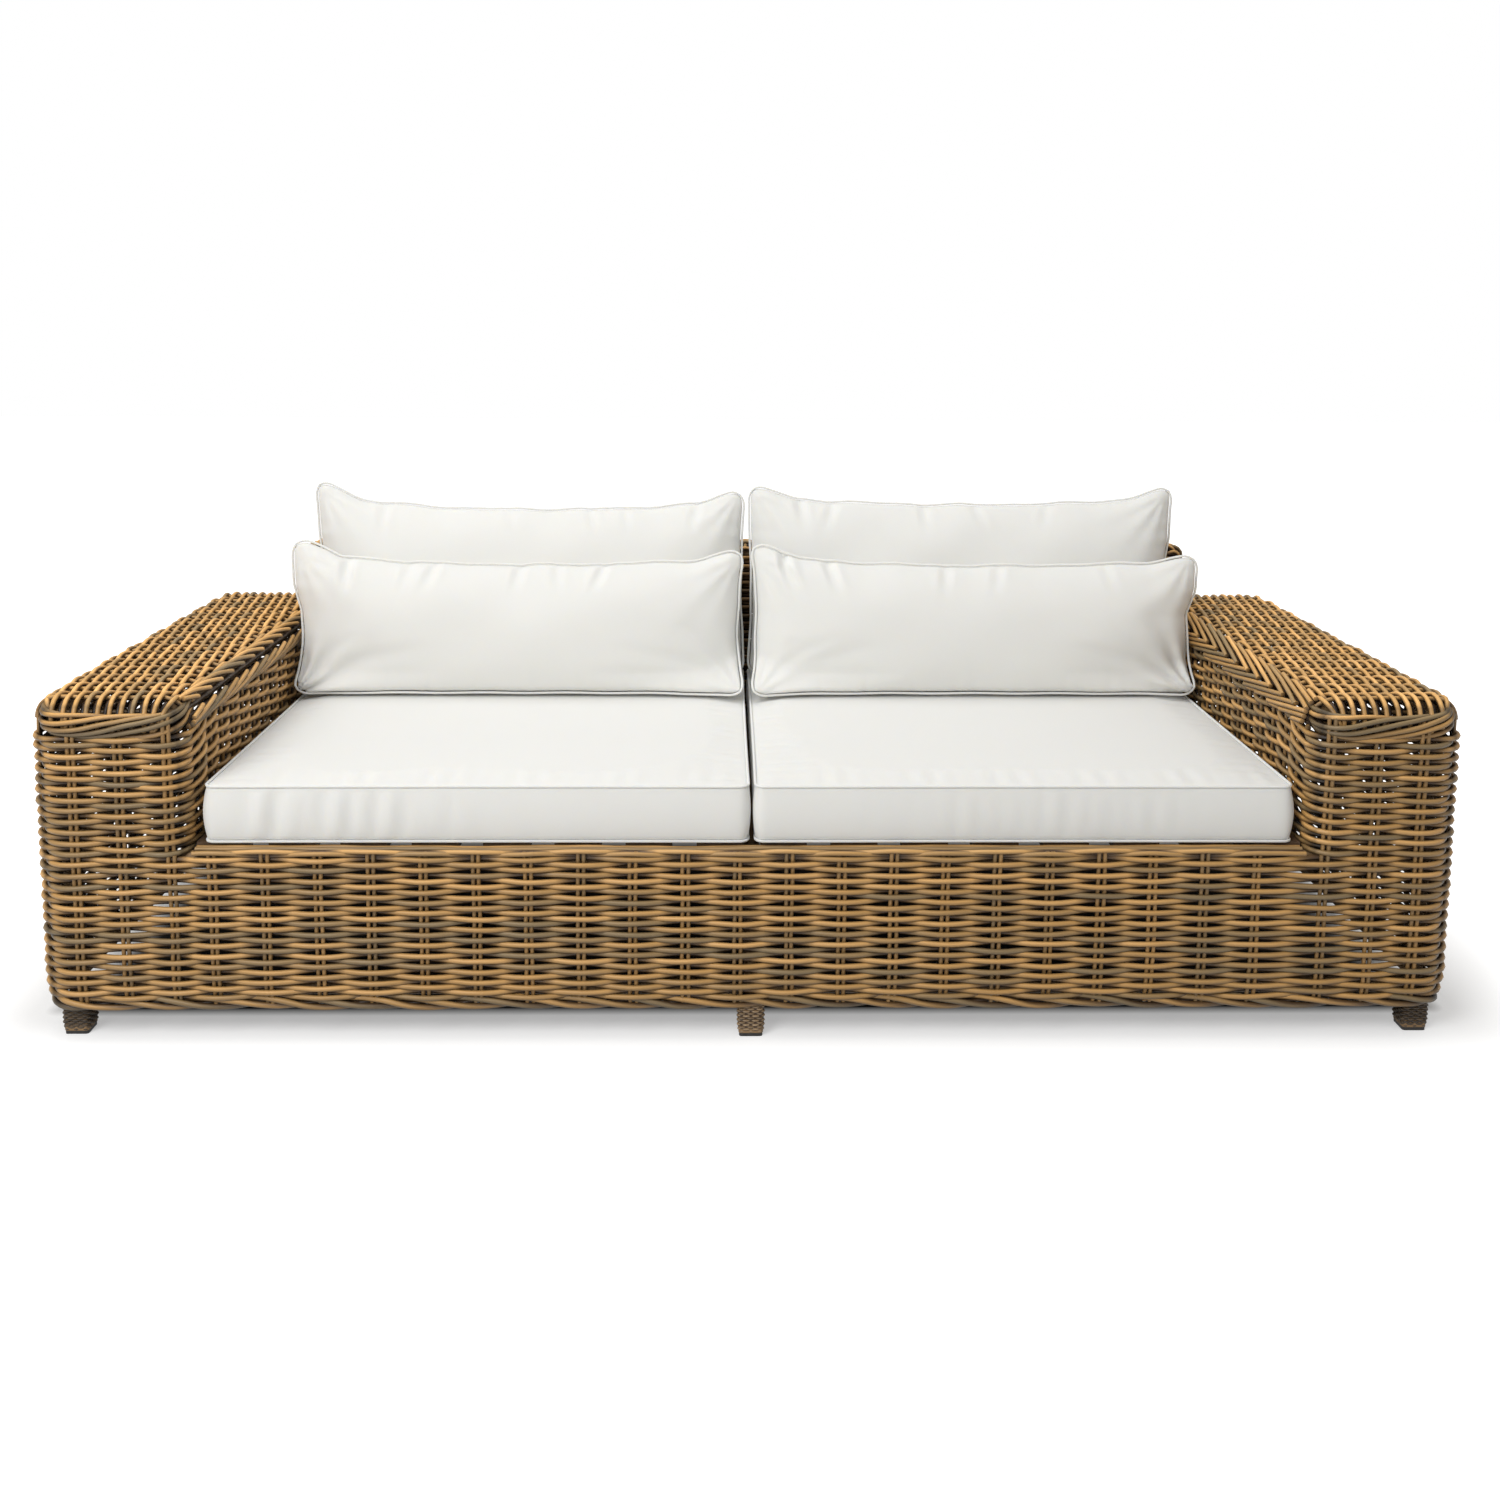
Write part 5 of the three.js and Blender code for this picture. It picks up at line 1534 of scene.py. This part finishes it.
class SOFA_OT_pillows(bpy.types.Operator):
    """Makes the back and lumbar cushions: knife edges with piping, filled between them"""

    bl_idname = "sofa.pillows"
    bl_label = "Back and lumbar cushions"

    def execute(self, context):
        for kind in ("back", "lumbar"):
            for side, sx in SIDES:
                self.pillow(context, f"{kind}_cushion_{side}", kind, sx)
        return {"FINISHED"}

    def pillow(self, context, node, kind, sx):
        """One cushion: two faces sewn together round their edge, filled, smoothed, creased and leaned back"""
        cushions = context.scene.sofa_cushions
        low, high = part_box(node)
        centre = np.array((low + high) / 2)
        pipe = cushions.piping / 2
        half_x = (high.x - low.x) / 2 - pipe
        half_y = (high.z - low.z) / 2 / math.cos(cushions.lean) - pipe
        shape = PILLOW_SHAPES[kind]
        u, v, faces, edge = panel_grid(half_x, half_y, cushions.cell)
        rng = random.Random(SEED + 50 + len(node) + sx)
        x, y = self.outline(node, kind, u, v, half_x, half_y, sx, rng)
        full = ((1 - np.abs(u) ** 8) * (1 - np.abs(v) ** 3)) ** 0.74
        low_heavy = 1 - 0.12 * v
        height = shape["thickness"] / 2 * full * low_heavy
        under = ((1 - np.abs(u) ** 8) * (1 - np.abs(v) ** np.where(v < 0, 9.0, 3.0))) ** 0.74
        reach = shape["forward"] + shape["corner"] * np.clip(-u * sx, 0.0, 1.0) ** 4
        forward = reach * np.clip((-v - 0.25) / 0.75, 0.0, 1.0) ** 1.7
        number = len(u)
        on_edge = np.zeros(number, bool)
        on_edge[edge] = True
        back_numbers = np.full(number, -1)
        back_numbers[on_edge] = np.flatnonzero(on_edge)
        inner = np.flatnonzero(~on_edge)
        back_numbers[inner] = number + np.arange(len(inner))
        forward = forward - 0.012 * np.clip((-v - 0.93) / 0.07, 0.0, 1.0)
        front_points = xyz(x, y, np.maximum(height, height * 0.45 + forward))
        back_points = xyz(x, y, forward - shape["thickness"] / 2 * under * low_heavy)[inner]
        points = np.concatenate((front_points, back_points))
        all_faces = np.concatenate((faces, back_numbers[faces[:, ::-1]]))
        flat = xyz(u * half_x, v * half_y, 0.0)
        flat = np.concatenate((flat, flat[inner] + (0, 0, 1)))
        piece = cloth_object(f"{kind}_cover_{node.rsplit('_', 1)[1]}", points, all_faces, flat)
        near_edge = np.clip(np.maximum(np.abs(u), np.abs(v)) * 1.6 - 0.6, 0.0, 1.0)
        puff(piece, edge, np.concatenate((near_edge, near_edge[inner])), 0.022)
        seam = places_of(piece)[edge]
        smoothed(piece)
        creased = self.creased(places_of(piece), node, half_x, half_y, sx, rng)
        put_places(piece, self.leaned(creased, centre, cushions.lean))
        piece.data.materials.append(finish("cloth"))
        settled(piece, node, "cushion", node)
        loop = self.leaned(seam, centre, cushions.lean)
        piping(f"{piece.name}_piping", [loop], cushions.piping, node)

    def outline(self, node, kind, u, v, half_x, half_y, sx, rng):
        """Places of a cushion's grid: sides drawn in, ears at the corners and a sagging, slightly wavy top"""
        shape = PILLOW_SHAPES[kind]
        left_ear, right_ear, sag = PILLOW_TOPS[node]
        turns = [rng.uniform(0.0, 2 * math.pi) for _ in range(6)]
        x, y = square_to_round(u * half_x, v * half_y, half_x, half_y, PILLOW_CORNER)
        outer = u * sx > 0
        above_arm = np.clip((v - 0.15) * 3, 0.0, 1.0)
        beside_arm = shape["arm_side"] + (shape["ear_side"] - shape["arm_side"]) * above_arm
        stands_out = np.where(outer, beside_arm, shape["inside"])
        drawn = np.where(outer, shape["drawn_outside"], shape["drawn_inside"])
        waves = 0.0014 * np.sin(v * 4.2 + turns[0] + outer) + 0.0008 * np.sin(v * 9.0 + turns[1])
        x = x + u * (stands_out - (drawn + waves) * (1 - np.abs(v) ** 2.4))
        ear = np.clip((np.abs(u) - 0.76) / 0.19, 0.0, 1.0)
        ears = 0.42 * ear ** 2 * (3 - 2 * ear) + 0.58 * np.abs(u) ** 2.4
        top = np.where(u < 0, left_ear, right_ear) * ears - sag * (1 - ears)
        top = top + 0.0014 * np.sin(u * 14 + turns[2]) + 0.0010 * np.sin(u * 25 + turns[3])
        for share, deep in PILLOW_PINCHES[node]:
            top = top - deep * 0.35 * np.exp(-((u - share) * half_x / 0.012) ** 2)
        bottom = 0.0006 - 0.0035 * u ** 6 + 0.0006 * np.sin(u * 17 + turns[4])
        return x, y + np.where(v > 0, v * top, -v * bottom)

    def creased(self, points, node, half_x, half_y, sx, rng):
        """Pinches under the top seam, folds that fan out of the corners, and soft unevenness"""
        x, y, z = points.T
        depth = np.zeros(len(x))
        below = np.maximum(half_y - PILLOW_TOPS[node][2] - y, 0.0)
        for share, deep in PILLOW_PINCHES[node]:
            across = (x - share * half_x + below * rng.uniform(-0.5, 0.5)) / 0.0075
            notch = -np.exp(-across ** 2 / 2) + 0.45 * np.exp(-(np.abs(across) - 2.4) ** 2 / 1.2)
            depth += 1.8 * deep * notch * np.exp(-(below / 0.036) ** 2)
        for corner_x, corner_y, deep, reach in ((sx, -1, 0.0085, 0.040), (-sx, -1, 0.0026, 0.040),
                                                (sx, 1, 0.0014, 0.050), (-sx, 1, 0.0014, 0.050)):
            offset_x = corner_x * half_x - x
            offset_y = corner_y * half_y - y
            far = np.hypot(offset_x, offset_y) / reach
            turn = np.arctan2(np.abs(offset_y), np.abs(offset_x))
            folds = ripple(turn * rng.uniform(11, 15) + far * rng.uniform(-0.8, 0.8), 1, rng)
            depth += deep * folds * far * np.exp(1 - far)
        for along, away in ((x, half_y - np.abs(y)), (y, half_x - np.abs(x))):
            ripples = ripple(along, 170, rng) * ripple(along, 31, rng)
            depth += 0.0013 * ripples * np.exp(-np.maximum(away, 0.0) / 0.026)
        for _ in range(5):
            depth += 0.0012 * ripple(x, rng.uniform(8, 26), rng) * ripple(y, rng.uniform(12, 40), rng)
        rounded = np.clip(np.abs(z) / 0.012, 0.0, 1.0)
        return xyz(x, y, z + np.sign(z) * depth * rounded)

    def leaned(self, points, centre, lean):
        """From a cushion lying on its back to its place, leaning on the back"""
        x, y, z = points.T
        sine, cosine = math.sin(lean), math.cos(lean)
        return centre + xyz(x, y * sine - z * cosine, y * cosine + z * sine)


class SOFA_OT_seat_cushions(bpy.types.Operator):
    """Makes the boxed seat cushions with a piped edge above and below"""

    bl_idname = "sofa.seat_cushions"
    bl_label = "Seat cushions"

    def execute(self, context):
        for side, sx in SIDES:
            self.cushion(context, f"seat_cushion_{side}", side, sx)
        return {"FINISHED"}

    def cushion(self, context, node, side, sx):
        """One cushion: a top and a bottom face with a boxing of rings between them, filled and smoothed"""
        cushions = context.scene.sofa_cushions
        low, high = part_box(node)
        centre = (low + high) / 2
        pipe = cushions.piping / 2
        half_x = (high.x - low.x) / 2 - pipe
        half_y = (high.y - low.y) / 2 - pipe
        rise = high.z - low.z - SEAT_CROWN
        u, v, faces, edge = panel_grid(half_x, half_y, cushions.cell)
        x, y = square_to_round(u * half_x, v * half_y, half_x, half_y, SEAT_CORNER)
        x = x - SEAT_DRAWN * u * (1 - v ** 2)
        y = y - SEAT_DRAWN * v * (1 - u ** 2)
        top_z = rise - pipe + SEAT_CROWN * (1 - np.abs(u) ** 3) * (1 - np.abs(v) ** 3) * 0.9
        number = len(u)
        front_share = 0.007 * np.clip(-v, 0.0, 1.0) ** 6
        points = [xyz(x, y, top_z), xyz(x, y - front_share, pipe)]
        flat = [xyz(u * half_x, v * half_y, layer) for layer in (0.0, 1.0)]
        rim = np.column_stack((x[edge], y[edge]))
        following = np.roll(rim, -1, axis=0) - np.roll(rim, 1, axis=0)
        facing = np.column_stack((following[:, 1], -following[:, 0]))
        facing /= np.linalg.norm(facing, axis=1)[:, None]
        travel = travelled(rim)
        rng = random.Random(SEED + 60 + sx)
        gathers = self.gathers(rim, facing, side, half_x, rng)
        loops = [edge]
        count = 2 * number
        for ring in range(1, SEAT_RINGS):
            share = ring / SEAT_RINGS
            bulge = (0.0042 + 0.0035 * (facing[:, 0] * sx > 0.9)) * math.sin(share * math.pi)
            out = bulge + gathers * math.sin(share * math.pi) ** 0.7
            wall_x, wall_y = (rim + facing * out[:, None]).T
            z = top_z[edge] + (pipe - top_z[edge]) * share
            points.append(xyz(wall_x, wall_y - front_share[edge] * share, z))
            flat.append(xyz(travel, share * rise, 2.0))
            loops.append(np.arange(count, count + len(edge)))
            count += len(edge)
        loops.append(edge + number)
        walls = [np.column_stack((np.roll(a, -1), a, b, np.roll(b, -1))) for a, b in zip(loops, loops[1:])]
        all_faces = np.concatenate((faces, faces[:, ::-1] + number, *walls))
        points = np.concatenate(points)
        piece = cloth_object(f"seat_cover_{side}", points, all_faces, np.concatenate(flat))
        boxing = np.zeros(len(points))
        boxing[2 * number:] = 1.0
        boxing[:number] = 0.12
        pinned = np.concatenate((edge, np.arange(number, 2 * number)))
        puff(piece, pinned, boxing, 0.007)
        covered = places_of(piece)
        seams = [covered[edge], covered[edge + number]]
        smoothed(piece)
        shift = np.array((centre.x, centre.y, low.z))
        points = self.rippled(places_of(piece), half_x, half_y, rise, rng) + shift
        points[:, 2] = np.minimum(points[:, 2], high.z)
        put_places(piece, points)
        piece.data.materials.append(finish("cloth"))
        settled(piece, node, "cushion", node)
        piping(f"seat_cover_{side}_piping", [seam + shift for seam in seams], cushions.piping, node)

    def rippled(self, points, half_x, half_y, rise, rng):
        """Small ripples beside the top seam and soft unevenness of the top"""
        x, y, z = points.T
        upper = np.clip((z - rise * 0.9) / (rise * 0.05), 0.0, 1.0)
        depth = np.zeros(len(x))
        for along, away in ((x, half_y - np.abs(y)), (y, half_x - np.abs(x))):
            inside = np.maximum(away - 0.004, 0.0)
            ripples = ripple(along, 150, rng) * ripple(along, 21, rng)
            depth += 0.0030 * ripples * (inside / 0.03) * np.exp(-inside / 0.03)
        middle = np.clip((half_y - np.abs(y)) / 0.05, 0, 1) * np.clip((half_x - np.abs(x)) / 0.05, 0, 1)
        for _ in range(4):
            wave = ripple(x, rng.uniform(6, 18), rng) * ripple(y, rng.uniform(6, 18), rng)
            depth += 0.0010 * wave * middle
        return xyz(x, y, z + depth * upper)

    def gathers(self, rim, facing, side, half_x, rng):
        """Upright wrinkles in the front boxing, strongest where the cover is slack"""
        middle, spread, strength = {"left": (-0.54, 0.34, 0.0125), "right": (0.1, 0.6, 0.0018)}[side]
        share = rim[:, 0] / half_x
        slack = np.exp(-((share - middle) / spread) ** 2) * (facing[:, 1] < -0.9)
        waves = sum(ripple(rim[:, 0], rng.uniform(80, 200), rng) for _ in range(4)) / 4
        return waves * strength * slack


class SOFA_OT_stage(bpy.types.Operator):
    """Sets up the floor, the soft studio light and the camera"""

    bl_idname = "sofa.stage"
    bl_label = "Stage"

    def execute(self, context):
        stage = context.scene.sofa_stage
        self.floor(stage)
        self.sky(stage)
        self.lamp("key", (-2.3, -3.6, 3.2), (0.0, 0.0, 0.4), 2.6, stage.key)
        self.lamp("top", (-0.4, 0.2, 4.2), (0.0, 0.0, 0.3), 3.6, stage.key * 0.42)
        self.camera()
        bpy.context.scene.view_settings.view_transform = "Standard"
        return {"FINISHED"}

    def floor(self, stage):
        """A wide pale floor that shows white and keeps the real shadow under the sofa, with a painted shadow
        where its glow fades near the sofa and painted near black deep under it
        """
        reach = stage.reach
        mesh = bpy.data.meshes.new("floor")
        mesh.from_pydata([(-reach, -reach, 0), (reach, -reach, 0), (reach, reach, 0), (-reach, reach, 0)], [],
                         [(0, 1, 2, 3)])
        floor = linked("floor", mesh)
        shader = Shader("pale_floor")
        place = shader.place()
        speckle = shader.span(shader.noise(place, 30.0), 0.0, 0.02)
        base = shader.mix(speckle, tuple(stage.floor), (0.5, 0.5, 0.5))
        seen = shader.seen("Is Camera Ray", "Is Glossy Ray", "Is Transmission Ray")
        inside, away, deep = self.painted_shadow_masks(shader, place)
        # Painted shadow: the floor seen deep under the sofa is near black
        base = shader.mix(shader.times(shader.times(inside, deep), seen), base, (0.004, 0.002, 0.001))
        # Painted shadow: the white glow is weaker near the sofa and off under it
        glow_with_painted_shadow = shader.mapped(away, 0.05, stage.fade, 0.37, 1.0)
        glow_with_painted_shadow = shader.times(shader.times(glow_with_painted_shadow, shader.span(inside, 1.0, 0.0)), seen)
        shader.finish(Base_Color=base, Roughness=0.9, Emission_Color=(1, 1, 1, 1), Emission_Strength=glow_with_painted_shadow)
        floor.data.materials.append(shader.material)

    def painted_shadow_masks(self, shader, place):
        """Masks for the painted shadow: share of the floor under the sofa, the distance from there, and how
        deep it lies under the sofa
        """
        parts = shader.split(place)
        beyond = []
        for axis, middle, half in (("X", 0.0, HALF_WIDTH + 0.01), ("Y", 0.0575, HALF_DEPTH - 0.0775)):
            size = shader.math("ABSOLUTE", shader.plus(parts[axis], -middle))
            beyond.append(shader.math("MAXIMUM", shader.plus(size, -half), 0.0))
        away = shader.vector("LENGTH", shader.joined(*beyond))
        inside = shader.mapped(away, 0.0, 0.03, 1.0, 0.0)
        depths = [shader.mapped(value, edge - 0.05, edge, 1.0, 0.0) for value, edge in (
            (shader.math("ABSOLUTE", parts["X"]), HALF_WIDTH), (parts["Y"], HALF_DEPTH - 0.03))]
        return inside, away, shader.times(*depths)

    def sky(self, stage):
        """Even light from all sides, which shows as plain white"""
        world = bpy.data.worlds.new("studio")
        bpy.context.scene.world = world
        world.use_nodes = True
        nodes = Nodes(world.node_tree)
        background = world.node_tree.nodes["Background"]
        seen = nodes.seen("Is Camera Ray", "Is Transmission Ray")
        nodes.put(background, "Strength", nodes.span(seen, stage.fill, 1.0))
        nodes.put(background, "Color", nodes.mix(seen, (1.0, 0.985, 0.955), (1.0, 1.0, 1.0)))

    def lamp(self, name, place, target, size, power):
        light = bpy.data.lights.new(name, "AREA")
        light.shape = "DISK"
        light.size = size
        light.energy = power
        lamp = linked(name, light)
        lamp.location = place
        direction = [t - p for t, p in zip(target, place)]
        lamp.rotation_euler = Vector(direction).to_track_quat("-Z", "Y").to_euler()

    def camera(self):
        """The view of the photograph"""
        data = bpy.data.cameras.new("camera")
        data.lens = CAMERA_LENS
        data.sensor_width = 36.0
        data.shift_y = CAMERA_SHIFT
        data.clip_start = 0.05
        camera = linked("camera", data)
        camera.matrix_world = camera_matrix()
        bpy.context.scene.camera = camera


def camera_matrix():
    """Place and turn of the camera"""
    yaw = Matrix.Rotation(CAMERA_YAW, 4, "Z")
    dip = Matrix.Rotation(QUARTER - CAMERA_DIP, 4, "X")
    roll = Matrix.Rotation(CAMERA_ROLL, 4, "Z")
    return Matrix.Translation(CAMERA_PLACE) @ yaw @ dip @ roll


class SOFA_PT_panel(bpy.types.Panel):
    """Lists the sofa's pieces"""

    bl_idname = "SOFA_PT_panel"
    bl_label = "Rattan garden sofa"
    bl_space_type = "VIEW_3D"
    bl_region_type = "UI"
    bl_category = "Sofa"

    def draw(self, context):
        for operator in OPERATORS:
            self.layout.operator(operator.bl_idname)
        for group in GROUPS:
            settings = getattr(context.scene, group)
            for key in settings.__annotations__:
                self.layout.prop(settings, key)


OPERATORS = (
    SOFA_OT_stage, SOFA_OT_outer_weave, SOFA_OT_arm_tops, SOFA_OT_rims, SOFA_OT_braids, SOFA_OT_hem,
    SOFA_OT_back, SOFA_OT_feet, SOFA_OT_pillows, SOFA_OT_seat_cushions,
)
GROUPS = {
    "sofa_weave": SofaWeave, "sofa_borders": SofaBorders, "sofa_cushions": SofaCushions,
    "sofa_colours": SofaColours, "sofa_stage": SofaStage,
}


def register():
    for group in GROUPS.values():
        bpy.utils.register_class(group)
    for name, group in GROUPS.items():
        setattr(bpy.types.Scene, name, PointerProperty(type=group))
    for operator in OPERATORS:
        bpy.utils.register_class(operator)
    bpy.utils.register_class(SOFA_PT_panel)


def unregister():
    bpy.utils.unregister_class(SOFA_PT_panel)
    for operator in reversed(OPERATORS):
        bpy.utils.unregister_class(operator)
    for name, group in GROUPS.items():
        delattr(bpy.types.Scene, name)
        bpy.utils.unregister_class(group)


def main():
    register()
    for operator in OPERATORS:
        family, name = operator.bl_idname.split(".")
        getattr(getattr(bpy.ops, family), name)()


if __name__ == "__main__":
    main()
